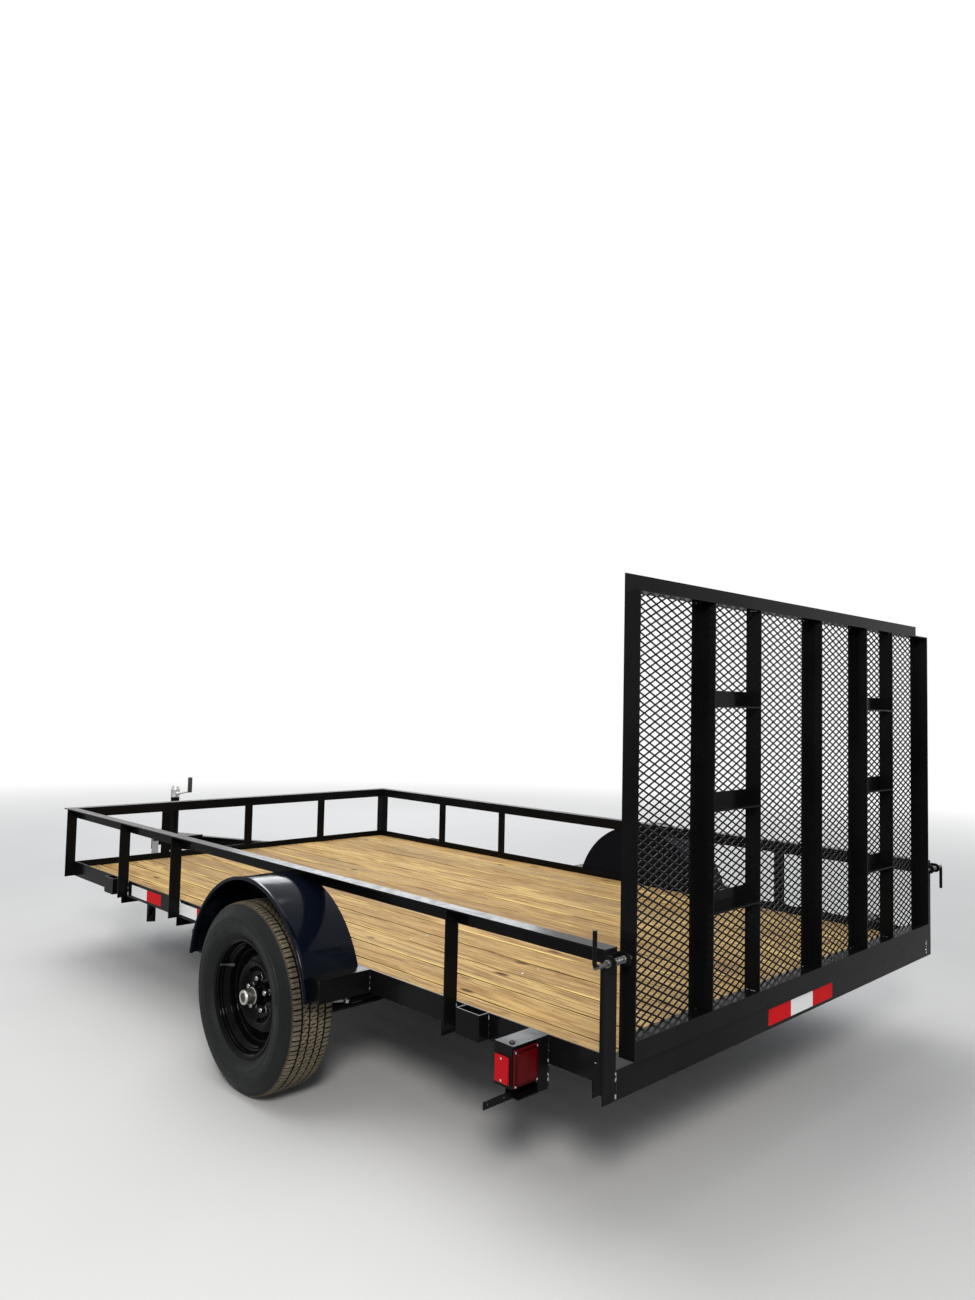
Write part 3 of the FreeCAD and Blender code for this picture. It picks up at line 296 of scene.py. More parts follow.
def lens_finish(name, bright, middle, deep):
    """Moulded red plastic: a grid of small prisms, bright in the middle, dark between."""
    made = Shader(name, Roughness=0.16, Specular_IOR_Level=0.07)
    cells = made.cells(170.0, 0.0)
    made.colour(made.ramp(cells, (0.0, bright), (0.4, middle), (0.7, deep)))
    made.bump(cells, 0.0006, 0.6)
    return made.material


def tape_finish(name, base, cell):
    """Reflective tape: a grid of small cells, with their edges in the cell colour."""
    made = Shader(name, Roughness=0.36, Specular_IOR_Level=0.03)
    cells = made.cells(150.0, 0.0, feature="DISTANCE_TO_EDGE")
    made.colour(made.ramp(cells, (0.02, cell), (0.06, base)))
    made.bump(made.noise(500.0), 0.00005, 0.4)
    return made.material


def weld_finish():
    """Black-painted weld beads with bright metal patches as painted glints on their ripples."""
    made = Shader("weld_bead", Metallic=1.0, Roughness=0.22)
    # Dark patches for the black paint, bright patches as painted glints of light on the ripples.
    made.colour(made.ramp(made.noise(85.0, 1.0), (0.50, (0.014, 0.014, 0.015)),
                          (0.58, (0.42, 0.42, 0.43))))
    return made.material


def grip_finish():
    """Dark rubber of the crank's grip."""
    made = Shader("grip_rubber", Roughness=0.5)
    made.colour(made.ramp(made.noise(70.0, 4.0), (0.3, (0.012, 0.010, 0.009)),
                          (0.7, (0.035, 0.026, 0.020))))
    made.bump(made.noise(300.0), 0.0002, 0.5)
    return made.material


def plug_finish():
    """Black rubber of the valve stems, hub plugs and grommets."""
    made = Shader("plug_rubber", Roughness=0.6)
    made.colour(made.ramp(made.noise(200.0), (0.3, (0.01, 0.01, 0.01)),
                          (0.7, (0.03, 0.03, 0.03))))
    return made.material


LENS = lens_finish("red_lens", (0.17, 0.0012, 0.003), (0.065, 0.0006, 0.0015),
                   (0.022, 0.0003, 0.0008))
SIDE_LENS = lens_finish("side_lens", (0.62, 0.006, 0.012), (0.42, 0.003, 0.008),
                        (0.22, 0.0015, 0.004))
TAPE_RED = tape_finish("tape_red", (0.56, 0.004, 0.008), (0.64, 0.010, 0.014))
TAPE_WHITE = tape_finish("tape_white", (0.80, 0.80, 0.79), (0.62, 0.62, 0.62))
SPRING = zinc_finish("spring_wire", (0.20, 0.20, 0.20), (0.06, 0.06, 0.06), 0.3)
WELD = weld_finish()
GRIP = grip_finish()
PLUG = plug_finish()

# Each carried-over CAD node takes the material of its slot.
MATERIAL_OF = {"frame_paint": FRAME_PAINT, "fender_paint": FENDER_PAINT,
               "rim_paint": RIM_PAINT, "pine": PINE, "tyre": SIDEWALL, "bright_zinc": ZINC,
               "red_lens": LENS}
for entry in frame["record"]["subparts"]:
    node = nodes[entry["node"]]
    node.data.materials.clear()
    node.data.materials.append(MATERIAL_OF[entry["material_slot"]])


# Mesh helpers
def add_object(name, data):
    made = bpy.data.objects.new(name, data)
    bpy.context.scene.collection.objects.link(made)
    return made


class Build:
    """Collects faces for one piece, each with a material number."""

    def __init__(self):
        self.points = []
        self.faces = []
        self.kinds = []

    def add(self, points, faces, kind):
        base = len(self.points)
        self.points.extend(points)
        for face in faces:
            self.faces.append([base + corner for corner in face])
            self.kinds.append(kind)

    def grid(self, rows, kind=0, round_rows=True, round_columns=False):
        """A sheet of quads through rows of points, closed along each row or over the rows."""
        base = len(self.points)
        wide = len(rows[0])
        for row in rows:
            self.points.extend(row)
        last_row = len(rows) if round_columns else len(rows) - 1
        last_column = wide if round_rows else wide - 1
        for i in range(last_row):
            for j in range(last_column):
                near = base + i * wide
                far = base + ((i + 1) % len(rows)) * wide
                ahead = (j + 1) % wide
                self.faces.append([near + j, near + ahead, far + ahead, far + j])
                self.kinds.append(kind)

    def box(self, low, high, kind, bevel):
        """A box with its edges cut back by a bevel."""
        low, high = Vector(low), Vector(high)
        middle, half = (low + high) / 2, (high - low) / 2
        cut = min(bevel, min(half) * 0.9)
        points, faces = [], []
        # Three points a corner, one on each face that meets there.
        for k in range(8):
            sign = [1 if k >> a & 1 else -1 for a in range(3)]
            for a in range(3):
                points.append(Vector([
                    sign[b] * (half[b] if b == a else half[b] - cut) for b in range(3)]))
        # Faces and edge strips axis by axis, then the corners.
        for a in range(3):
            b, c = (a + 1) % 3, (a + 2) % 3
            for s in (0, 1):
                ring = [(s << a) | (p << b) | (q << c) for p, q in
                        ((0, 0), (1, 0), (1, 1), (0, 1))]
                faces.append([k * 3 + a for k in (ring if s else ring[::-1])])
            for p in (0, 1):
                for q in (0, 1):
                    first = (p << b) | (q << c)
                    second = first | (1 << a)
                    face = [first * 3 + b, second * 3 + b, second * 3 + c, first * 3 + c]
                    faces.append(face if p ^ q else face[::-1])
        for k in range(8):
            odd = bin(k).count("1") % 2
            face = [k * 3, k * 3 + 1, k * 3 + 2]
            faces.append(face if odd else face[::-1])
        self.add([middle + p for p in points], faces, kind)

    def turned(self, origin, axis, profile, kind, sides, close=False):
        """A turned form; profile rows are (radius, place along the axis)."""
        axis = Vector(axis).normalized()
        across = axis.orthogonal().normalized()
        over = axis.cross(across)
        rows = []
        for radius, along in profile:
            rows.append([Vector(origin) + axis * along + radius * (
                across * math.cos(a) + over * math.sin(a))
                for a in (2 * math.pi * j / sides for j in range(sides))])
        self.grid(rows, kind, True, close)

    def close_ends(self, row_count, sides, kind=0, step=1):
        """Flat faces on the first and last rows of the latest grid; step -1 turns them over."""
        start = len(self.points) - row_count * sides
        last = start + (row_count - 1) * sides
        self.faces.append(list(range(start, start + sides))[::-step])
        self.faces.append(list(range(last, last + sides))[::step])
        self.kinds += [kind, kind]

    def tube(self, path, radius, kind, sides):
        """A round bar along points, with flat ends."""
        path = [Vector(p) for p in path]
        rows = []
        side = None
        for i, point in enumerate(path):
            ahead = path[min(i + 1, len(path) - 1)] - path[max(i - 1, 0)]
            ahead.normalize()
            if side is None:
                side = ahead.orthogonal().normalized()
            side = (side - ahead * side.dot(ahead)).normalized()
            over = ahead.cross(side)
            rows.append([point + radius * (side * math.cos(a) + over * math.sin(a))
                         for a in (2 * math.pi * j / sides for j in range(sides))])
        self.grid(rows, kind)
        self.close_ends(len(rows), sides, kind)

    def piece(self, name, body, slot, materials, stands_for=(), smooth=30.0):
        """Makes the mesh; faces shade smoothly up to the angle smooth, or not at 0."""
        mesh = bpy.data.meshes.new(name)
        mesh.from_pydata([tuple(p) for p in self.points], [], self.faces)
        for material in materials:
            mesh.materials.append(material)
        mesh.polygons.foreach_set("material_index", self.kinds)
        if smooth:
            mesh.polygons.foreach_set("use_smooth", [True] * len(mesh.polygons))
            mesh.set_sharp_from_angle(angle=math.radians(smooth))
        mesh.update()
        made = add_object(name, mesh)
        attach(made, body)
        if stands_for:
            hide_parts(*stands_for)
        return made


def both_sides(draw):
    """What draw adds on the left and then on the right, together."""
    made = Build()
    for sign in (1, -1):
        draw(made, sign)
    return made


def middle_of(node):
    low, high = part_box(node)
    return (low + high) / 2


# Deck boards and their screws
DECK_LOW, DECK_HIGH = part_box("deck_boards")
BOARDS = 15
# The gap between the boards of the solid, and the wider seam that is drawn here.
SOLID_GAP = 0.0018
SEAM = 0.0060
BOARD_PITCH = (DECK_HIGH.y - DECK_LOW.y + SOLID_GAP) / BOARDS
# How far a board's long edges are rounded, and how wide a strip they colour with a painted highlight.
CROWN = 0.0042
EDGE_STRIP = 0.014


def planks():
    """Boards with rounded edges, each with its own tone, height and slight bow."""
    deck = Build()
    board_tone = []
    edge_tone = []
    steps = 40
    under, top = DECK_LOW.z, DECK_HIGH.z
    for number in range(BOARDS):
        near = DECK_LOW.y + number * BOARD_PITCH + (SEAM - SOLID_GAP) / 2
        far = near + BOARD_PITCH - SEAM
        tone = (number * 0.618 + rng.uniform(-0.08, 0.08)) % 1.0
        lift = rng.uniform(-0.0015, 0.0)
        bow = rng.uniform(-0.0006, 0.0006)
        # Across a board: place, height, and how near the rounded edge it is.
        section = [(near, under, 1.0), (near, top - CROWN, 1.0),
                   (near + CROWN * 0.3, top - CROWN * 0.3, 0.70), (near + CROWN, top, 0.62),
                   (near + EDGE_STRIP, top, 0.0), (far - EDGE_STRIP, top, 0.0),
                   (far - CROWN, top, 0.62), (far - CROWN * 0.3, top - CROWN * 0.3, 0.70),
                   (far, top - CROWN, 1.0), (far, under, 1.0)]
        rows = []
        for i in range(steps + 1):
            x = DECK_LOW.x + (DECK_HIGH.x - DECK_LOW.x) * i / steps
            aside = bow * math.sin(math.pi * i / steps)
            dip = lift + 0.0004 * math.sin(i * 0.9 + number * 2.1)
            rows.append([Vector((x, y + aside, z + (dip if z > under else 0)))
                         for y, z, _ in section])
        deck.grid(rows)
        count = len(section)
        deck.close_ends(steps + 1, count, step=-1)
        board_tone += [tone] * (count * (steps + 1))
        edge_tone += [edge for _, _, edge in section] * (steps + 1)
    made = deck.piece("planks", "chassis", "pine", [PINE], ["deck_boards"], 35.0)
    for name, values in (("board", board_tone), ("edge", edge_tone)):
        layer = made.data.attributes.new(name, "FLOAT", "POINT")
        layer.data.foreach_set("value", values)


def deck_screws():
    """Two screws a board over each crossmember, up to 4 mm out of line."""
    screws = Build()
    # Crossmembers in millimetres forward of the gate's rear plane, a sixth of the frame apart.
    crossmembers = [140 + 609.6 * number for number in range(6)]
    head = [(0.0048, 0.0), (0.0048, 0.0008), (0.0040, 0.0011), (0.0017, 0.0011),
            (0.0014, 0.0004), (0.0, 0.0004)]
    for place in crossmembers:
        for number in range(BOARDS):
            for inset in (0.028, BOARD_PITCH - 0.030):
                spot = Vector((REAR + place / 1000 + 0.026 + rng.uniform(-0.004, 0.004),
                               DECK_LOW.y + number * BOARD_PITCH + inset,
                               DECK_HIGH.z - 0.0022))
                screws.turned(spot, (0, 0, 1), head, 0, 10)
    screws.piece("deck_screws", "chassis", "bright_zinc", [DULL_STEEL])


# Wheels
TYRE_RADIUS = 0.330
# One wall of the tyre, bead to shoulder: (radius, place out from the tyre's middle).
WALL = [(0.191, 0.062), (0.1965, 0.0705), (0.2045, 0.0745), (0.2115, 0.0765),
        (0.2135, 0.0795), (0.2165, 0.0825), (0.2205, 0.0885), (0.2285, 0.0945),
        (0.2375, 0.0985), (0.2385, 0.0998), (0.2415, 0.1003), (0.2425, 0.0994),
        (0.2525, 0.1018), (0.2625, 0.1025), (0.2725, 0.1018), (0.2765, 0.1012),
        (0.2775, 0.1019), (0.2795, 0.1016), (0.2805, 0.1000), (0.2905, 0.0965),
        (0.2990, 0.0920), (0.3050, 0.0885), (0.3110, 0.0855), (0.3165, 0.0825)]
# Half of the tread, shoulder to middle: (place out, drop below the radius, what it is).
TREAD_ROWS = [
    (0.0795, 0.0095, "nick"), (0.0765, 0.0060, "nick"), (0.0725, 0.0035, "block"),
    (0.0640, 0.0020, "block"), (0.0550, 0.0013, "block"), (0.0490, 0.0011, "block"),
    (0.0482, 0.0075, "groove"), (0.0415, 0.0075, "groove"), (0.0407, 0.0009, "rib"),
    (0.0300, 0.0005, "rib"), (0.0200, 0.0003, "rib"), (0.0192, 0.0070, "groove"),
    (0.0130, 0.0070, "groove"), (0.0122, 0.0001, "rib"), (0.0, 0.0, "rib")]
# Steps round the tyre, and how many of them a block and a rib's sipe repeat after.
STEPS = 540
BLOCK_STEPS = 9
SIPE_STEPS = 7
# Depths of a cut between blocks, a cut inside one, a shoulder nick and a sipe.
BLOCK_CUT, SMALL_CUT, NICK_CUT, SIPE_CUT = 0.0060, 0.0020, 0.0028, 0.0040


def tread_cut(kind, y, j):
    """How deep step j of a row is cut below the row's radius."""
    turn = j + (4 if y < 0 else 0)
    if kind == "block" and turn % BLOCK_STEPS == 0:
        return BLOCK_CUT
    if kind == "block" and turn % BLOCK_STEPS == 5:
        return SMALL_CUT
    if kind == "nick" and j % 2 == 0:
        return NICK_CUT
    if kind == "rib" and (j + int(abs(y) * 300)) % SIPE_STEPS == 0:
        return SIPE_CUT
    return 0.0


def wall_marks(made):
    """Raised dashes and wear marks on the sidewall, with no lettering."""
    ridge = ((-0.0016, -0.001), (-0.0012, 0.0004), (0.0012, 0.0004), (0.0016, -0.001))
    for start, length in ((30, 11), (55, 11), (162, 16), (267, 11), (293, 11), (417, 16)):
        for r in (0.2585, 0.2645):
            a0 = 2 * math.pi * start / STEPS
            a1 = 2 * math.pi * (start + length) / STEPS
            for face in (1, -1):
                rows = []
                for k in range(7):
                    a = a0 + (a1 - a0) * k / 6
                    rows.append([Vector(((r + dr) * math.sin(a), face * (0.1026 + dy),
                                         (r + dr) * math.cos(a))) for dr, dy in ridge])
                made.grid(rows, 0, False)


def tyre(side):
    """A highway tyre: bead, ridged sidewall, shoulder nicks, ribs, grooves and sipes."""
    made = Build()
    half = [(r, y, "wall") for r, y in WALL]
    half += [(TYRE_RADIUS - drop, y, kind) for y, drop, kind in TREAD_ROWS]
    whole = half + [(r, -y, kind) for r, y, kind in reversed(half[:-1])]
    rows = []
    deep = []
    for r, y, kind in whole:
        row = []
        for j in range(STEPS):
            a = 2 * math.pi * j / STEPS
            radius = r - tread_cut(kind, y, j)
            across = 0.0
            if kind == "groove":
                across = 0.0008 * math.sin(a * 72)
            deep.append(1.0 if kind == "groove" else min(1.0, (r - radius) / SIPE_CUT))
            row.append(Vector((radius * math.sin(a), y + across, radius * math.cos(a))))
        rows.append(row)
    made.grid(rows)
    # Rows from the shoulder nicks inward carry the dusty tread.
    tread_rows = range(len(WALL), len(rows) - len(WALL) - 1)
    made.kinds = [int(i in tread_rows) for i in range(len(rows) - 1) for _ in range(STEPS)]
    wall_marks(made)
    centre = middle_of(f"tyre_{side}")
    made.points = [centre + p for p in made.points]
    done = made.piece(f"road_tyre_{side}", f"wheel_{side}", "tyre", [SIDEWALL, TREAD],
                      [f"tyre_{side}"], 38.0)
    # How deep each point lies; deep points get no dust, which leaves painted shade in the grooves.
    layer = done.data.attributes.new("deep", "FLOAT", "POINT")
    layer.data.foreach_set("value", deep + [0.0] * (len(made.points) - len(deep)))


# The rim's closed section in millimetres: (radius, place out from the tyre's middle).
RIM = [(208, 77), (208, 72.5), (190, 70.5), (190, 46), (172, 36), (172, -30), (190, -46),
       (190, -70.5), (208, -72.5), (208, -77), (200, -77), (185, -73), (185, -47), (167, -33),
       (167, 4), (148, 8), (130, 18), (112, 24), (98, 20), (87, 5), (80, 0), (42, 0),
       (42, 5), (78, 5), (84, 9), (95, 25), (112, 29.5), (132, 23), (150, 13),
       (160, 10.5), (163, 13), (165, 20), (167, 38), (176, 42), (178, 47), (184.5, 49),
       (185, 60), (187.5, 62), (187.5, 71), (192, 74), (196, 77.5), (203, 78)]


def rounded(profile):
    """Cuts each corner of a closed profile in millimetres so that it turns softly."""
    cut, most = 1.6, 0.28
    out = []
    count = len(profile)
    for i, (r, y) in enumerate(profile):
        for other in (profile[i - 1], profile[(i + 1) % count]):
            length = math.hypot(other[0] - r, other[1] - y)
            step = min(most, cut / max(length, 0.01))
            out.append((r + (other[0] - r) * step, y + (other[1] - y) * step))
    return out


def wheel(side, sign):
    """The rim with its valve stem, and the hub with its cap, plug, studs and nuts."""
    centre = middle_of(f"tyre_{side}")
    out = Vector((0, sign, 0))
    made = Build()
    made.turned(centre, out, [(r / 1000, y / 1000) for r, y in rounded(RIM)], 0, 128, True)
    # Valve stem in the well.
    foot = centre + out * 0.036 + Vector((0.150, 0, 0.075))
    made.turned(foot, (0.35, sign, 0.1), [(0.0, -0.006), (0.0075, -0.006), (0.0075, 0.006),
                                          (0.0045, 0.010), (0.004, 0.034), (0.0048, 0.035),
                                          (0.0048, 0.044), (0.0, 0.046)], 1, 16)
    made.piece(f"wheel_disc_{side}", f"wheel_{side}", "rim_paint", [RIM_PAINT, PLUG],
               [f"rim_{side}"], 40.0)
    hub = Build()
    hub.turned(centre, out, [(0.0185, -0.046), (0.040, -0.046), (0.040, -0.014),
                             (0.070, -0.012), (0.070, -0.0004), (0.0415, -0.0004),
                             (0.0405, 0.006), (0.036, 0.010), (0.034, 0.012), (0.034, 0.036),
                             (0.032, 0.038), (0.0275, 0.039)], 0, 48)
    hub.turned(centre, out, [(0.0275, 0.036), (0.0295, 0.0375), (0.0295, 0.0405),
                             (0.0272, 0.042), (0.0268, 0.070), (0.0258, 0.0745),
                             (0.0235, 0.0772), (0.0175, 0.078), (0.0165, 0.0772),
                             (0.0160, 0.0735)], 1, 48)
    hub.turned(centre, out, [(0.0165, 0.0735), (0.0160, 0.0755), (0.0135, 0.0765),
                             (0.0090, 0.0762), (0.0040, 0.0748), (0.0, 0.0745)], 2, 32)
    # Five studs, each with a nut.
    stud_circle = 0.05715
    for number in range(5):
        a = math.radians(number * 72 + 18)
        spot = centre + Vector((stud_circle * math.cos(a), 0, stud_circle * math.sin(a)))
        hub.turned(spot, out, [(0.0, 0.004), (0.0063, 0.004), (0.0063, 0.0290)], 1, 16)
        hub.turned(spot, out, [(0.0125, 0.0052), (0.0125, 0.0075), (0.0112, 0.0085),
                               (0.0112, 0.0200), (0.0105, 0.0218)], 3, 6)
        hub.turned(spot, out, [(0.0103, 0.0215), (0.0100, 0.0245), (0.0085, 0.0272),
                               (0.0055, 0.0288), (0.0, 0.0293)], 3, 24)
    hub.piece(f"hub_detail_{side}", f"wheel_{side}", "bright_zinc",
              [RIM_PAINT, DULL_STEEL, PLUG, CHROME], [f"hub_{side}"], 35.0)


# Expanded metal of the gate, with its opening the long way and the short way
OPENING_WIDE, OPENING_HIGH = 0.0508, 0.0234


def expanded_sheet():
    """One sheet of raised expanded metal: slanting strands that twist into each bond."""
    low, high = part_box("gate_mesh_rising")
    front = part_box("gate_mesh_falling")[1].x
    middle_x = (low.x + front) / 2
    half_x = (front - low.x) / 2
    step_y, step_z = OPENING_WIDE / 2, OPENING_HIGH / 2
    # Half of a strand's width, and half of its depth.
    wide, thick = 0.0023, half_x * 0.82 * 0.9
    made = Build()
    columns = int((high.y - low.y) / step_y)
    floors = int((high.z - low.z) / step_z)
    y0 = (low.y + high.y) / 2 - columns * step_y / 2
    over = Vector((1, 0, 0))
    strands = [(i, k, way) for i in range(columns) for k in range(floors + 1) for way in (1, -1)
               if (i + k) % 2 == 0 and 0 <= k + way <= floors]
    for i, k, way in strands:
        start = Vector((middle_x, y0 + i * step_y, low.z + k * step_z))
        end = start + Vector((0, step_y, way * step_z))
        side = (end - start).normalized().cross(over)
        rows = []
        for share, lean, width in ((-0.04, 0.0, 1.15), (0.16, 0.5, 1.0), (0.84, 0.5, 1.0),
                                   (1.04, 0.0, 1.15)):
            turn = lean * way
            a = (side * math.cos(turn) + over * math.sin(turn)) * wide * width
            b = (over * math.cos(turn) - side * math.sin(turn)) * thick
            point = start.lerp(end, share)
            rows.append([point + a + b, point - a + b, point - a - b, point + a - b])
        made.grid(rows)
    made.piece("expanded_metal", "gate", "frame_paint", [MESH_PAINT],
               ["gate_mesh_rising", "gate_mesh_falling"], 0)


# Fenders
def fender(side, sign):
    """Rolled fender: smooth crown, full rolled lip and flat inner wall."""
    centre = Vector((REAR + WHEEL_PLACE, 0, 0.345))
    inner = sign * 1.0466
    outer = sign * 1.270
    reach = 0.401
    sheet = 0.0025
    made = Build()
    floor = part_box(f"fender_{side}")[0].z
    start = math.asin((floor - centre.z) / reach)
    steps = 96

    def arc(radius, y):
        row = []
        for i in range(steps + 1):
            a = start + (math.pi - 2 * start) * i / steps
            row.append(centre + Vector((radius * math.cos(a), y, radius * math.sin(a))))
        return row

    # Outer skin, rolled lip, inner skin: rows of (radius, place across).
    section = [(reach - sheet, inner), (reach - 0.0008, inner + sign * 0.0006),
               (reach, inner + sign * 0.003), (reach, outer - sign * 0.016),
               (reach + 0.0008, outer - sign * 0.011)]
    for k in range(13):
        a = math.radians(75 - k * 21)
        section.append((reach - 0.003 + 0.007 * math.sin(a),
                        outer - sign * 0.004 + sign * 0.007 * math.cos(a)))
    section += [(reach - 0.0045, outer - sign * 0.013), (reach - sheet, outer - sign * 0.018),
                (reach - sheet, inner)]
    made.grid([arc(r, y) for r, y in section], 0, False)
    # Flat inner wall, both faces.
    for y in (inner, inner + sign * sheet):
        rows = [arc(reach - 0.0016, y)]
        rows.append([Vector((p.x, p.y, floor)) for p in rows[0]])
        made.grid(rows, 0, False)
    made.piece(f"rolled_fender_{side}", "chassis", "fender_paint", [FENDER_PAINT],
               [f"fender_{side}"], 40.0)


# Lamp lenses
def screw_head(made, place, axis, radius, high):
    """A low head with a rounded top."""
    made.turned(place, axis, [(radius, -0.001), (radius, high - 0.0007),
                              (radius - 0.001, high - 0.0001), (0.0, high)], 1, 12)


def lens_pair(lamps, sign):
    """The rear lens and the side lens of a light box, with their screws."""
    y0, y1 = sorted((sign * 1.082, sign * 1.179))
    x_back, x_front = REAR + 0.2515, REAR + 0.262
    z0, z1 = 0.3735, 0.4725
    lamps.box((x_back + 0.003, y0, z0), (x_front, y1, z1), 0, 0.004)
    # Raised window and screw heads on the rear lens.
    lamps.box((x_back, y0 + 0.010, z0 + 0.010), (x_back + 0.006, y1 - 0.010, z1 - 0.010), 0,
              0.0025)
    for zs in (z0 + 0.0055, z1 - 0.0055):
        for ys in (y0 + 0.0065, y1 - 0.0065):
            screw_head(lamps, (x_back + 0.003, ys, zs), (-1, 0, 0), 0.0032, 0.0015)
    # Side lens on the box's outer end.
    y0, y1 = sorted((sign * 1.180, sign * 1.187))
    lamps.box((REAR + 0.270, y0, 0.3802), (REAR + 0.322, y1, 0.4522), 2, 0.0025)
    for zs in (0.388, 0.4445):
        screw_head(lamps, (REAR + 0.296, sign * 1.1865, zs), (0, sign, 0), 0.003, 0.0013)


# Gate latches
def rounded_ear(made, centre, sign):
    """A latch ear: a flat with a round end, welded to the post at its square end."""
    thick, radius, reach = 0.005, 0.018, 0.019
    rim = []
    for k in range(17):
        a = math.radians(90 + k * 180 / 16)
        rim.append((radius * math.cos(a), radius * math.sin(a)))
    rim += [(reach, -radius), (reach, radius)]
    near = [centre + Vector((x, 0, z)) for x, z in rim]
    far = [p + Vector((0, sign * thick, 0)) for p in near]
    made.grid([near, far])
    made.close_ends(2, len(rim))


def latch_side(latch, sign):
    """Two ears, a backing flat, the sprung pin and its bent handle on a rear post."""
    pin_x, pin_z = REAR + 0.008, 0.738
    for y in (1.0314, 1.0922):
        rounded_ear(latch, Vector((pin_x, sign * y, pin_z)), sign)
    y0, y1 = sorted((sign * 1.0314, sign * 1.0972))
    latch.box((REAR + 0.022, y0, pin_z - 0.018), (REAR + 0.027, y1, pin_z + 0.018), 0, 0.0008)
    # Pin with a tapered nose, then a washer, the spring and a collar.
    latch.turned((pin_x, sign * 1.0074, pin_z), (0, sign, 0),
                 [(0.0, 0.0), (0.0040, 0.0004), (0.0060, 0.0035), (0.0060, 0.1490),
                  (0.0052, 0.1500), (0.0, 0.1500)], 2, 24)
    latch.turned((pin_x, sign * 1.0374, pin_z), (0, sign, 0),
                 [(0.006, 0.0), (0.0098, 0.0), (0.0098, 0.002), (0.006, 0.002)], 1, 20)
    coil = []
    turns, around = 9, 14
    for k in range(turns * around + 1):
        a = 2 * math.pi * k / around
        coil.append((pin_x + 0.0081 * math.cos(a),
                     sign * (1.0400 + 0.0500 * k / (turns * around)),
                     pin_z + 0.0081 * math.sin(a)))
    latch.tube(coil, 0.0013, 2, 7)
    latch.turned((pin_x, sign * 1.0974, pin_z), (0, sign, 0),
                 [(0.006, 0.0), (0.0100, 0.0), (0.0100, 0.0115), (0.0092, 0.0125),
                  (0.006, 0.0125)], 2, 24)
    # The bent handle stands up on the left and hangs down on the right.
    bend = [(pin_x, sign * 1.140, pin_z)]
    for k in range(7):
        a = math.radians(k * 15)
        bend.append((pin_x, sign * (1.1454 + 0.012 * math.sin(a)),
                     pin_z + sign * 0.012 * (1 - math.cos(a))))
    bend.append((pin_x, sign * 1.1574, pin_z + sign * 0.091))
    latch.tube(bend, 0.0060, 0, 16)


# Jack head and crank
def jack_head():
    """The jack's turned head, its gearbox, and the crank with a ridged grip."""
    jack = Build()
    jx, crank_z = REAR + 4.690, 0.708
    jack.turned((jx, 0, 0.682), (0, 0, 1),
                [(0.0, 0.0), (0.0300, 0.0), (0.0310, 0.0012), (0.0310, 0.0080), (0.0295, 0.0092),
                 (0.0295, 0.0480), (0.0310, 0.0495), (0.0310, 0.0580), (0.0300, 0.0600),
                 (0.0245, 0.0606), (0.0240, 0.0680), (0.0225, 0.0770), (0.0190, 0.0808),
                 (0.0110, 0.0820), (0.0, 0.0820)], 0, 48)
    jack.turned((jx - 0.012, 0, crank_z), (-1, 0, 0),
                [(0.0, 0.0), (0.0125, 0.0), (0.0125, 0.030), (0.0100, 0.032), (0.0100, 0.046),
                 (0.0085, 0.050), (0.0, 0.050)], 0, 32)
    # The crank's arm rises at a slant from the gearbox, then turns up into the grip.
    lean, arm_long = math.radians(10), 0.1655
    root_x = jx - 0.050
    tip = Vector((root_x - arm_long * math.cos(lean), 0, crank_z + arm_long * math.sin(lean)))
    arm = [(root_x, 0, crank_z), (tip.x + 0.010, 0, tip.z - 0.0018), (tip.x + 0.003, 0, tip.z),
           (tip.x + 0.0008, 0, tip.z + 0.006), (tip.x, 0, 0.834)]
    jack.tube(arm, 0.0060, 0, 14)
    # Nine ridges round the grip.
    grip = [(0.0062, 0.0), (0.0125, 0.001), (0.0140, 0.004)]
    for k in range(9):
        grip += [(0.0150, 0.010 + k * 0.0102), (0.0142, 0.0145 + k * 0.0102)]
    grip += [(0.0140, 0.099), (0.0115, 0.103), (0.0, 0.104)]
    jack.turned((tip.x, 0, 0.730), (0, 0, 1), grip, 1, 28)
    jack.piece("jack_detail", "chassis", "bright_zinc", [ZINC, GRIP], ["jack_head"], 40.0)


# Reflective tape, with the material numbers of its two colours
RED, WHITE = 0, 1


def strip(tape, start, end, low_z, high_z, fixed, face, kind):
    """A strip of tape on a vertical face, which lies at face on the fixed axis x or y."""
    lift = 0.0004
    ends = ((start, low_z), (end, low_z), (end, high_z), (start, high_z))
    if fixed == "x":
        inner = [Vector((face, y, z)) for y, z in ends]
        out = Vector((-lift, 0, 0))
    else:
        inner = [Vector((x, face, z)) for x, z in ends]
        out = Vector((0, math.copysign(lift, face), 0))
    outer = [c + out for c in inner]
    tape.add(inner + outer, [(4, 5, 6, 7), (0, 4, 7, 3), (1, 2, 6, 5), (3, 7, 6, 2),
                             (0, 1, 5, 4)], kind)


def reflective_tape():
    """Red and white strips on the rear member and both side members."""
    tape = Build()
    for y0, y1, kind in ((0.261, 0.115, RED), (0.115, -0.036, WHITE), (-0.036, -0.181, RED)):
        strip(tape, y0, y1, 0.3895, 0.4403, "x", REAR_FACE, kind)
    for sign in (1, -1):
        for x0, x1, kind in ((2.955, 2.788, WHITE), (2.788, 2.640, RED),
                             (2.449, 2.291, WHITE), (2.291, 2.140, RED)):
            strip(tape, REAR + x0, REAR + x1, 0.4195, 0.4703, "y", sign * SIDE_FACE, kind)
    tape.piece("reflective_tape", "chassis", "red_lens", [TAPE_RED, TAPE_WHITE], (), 0)


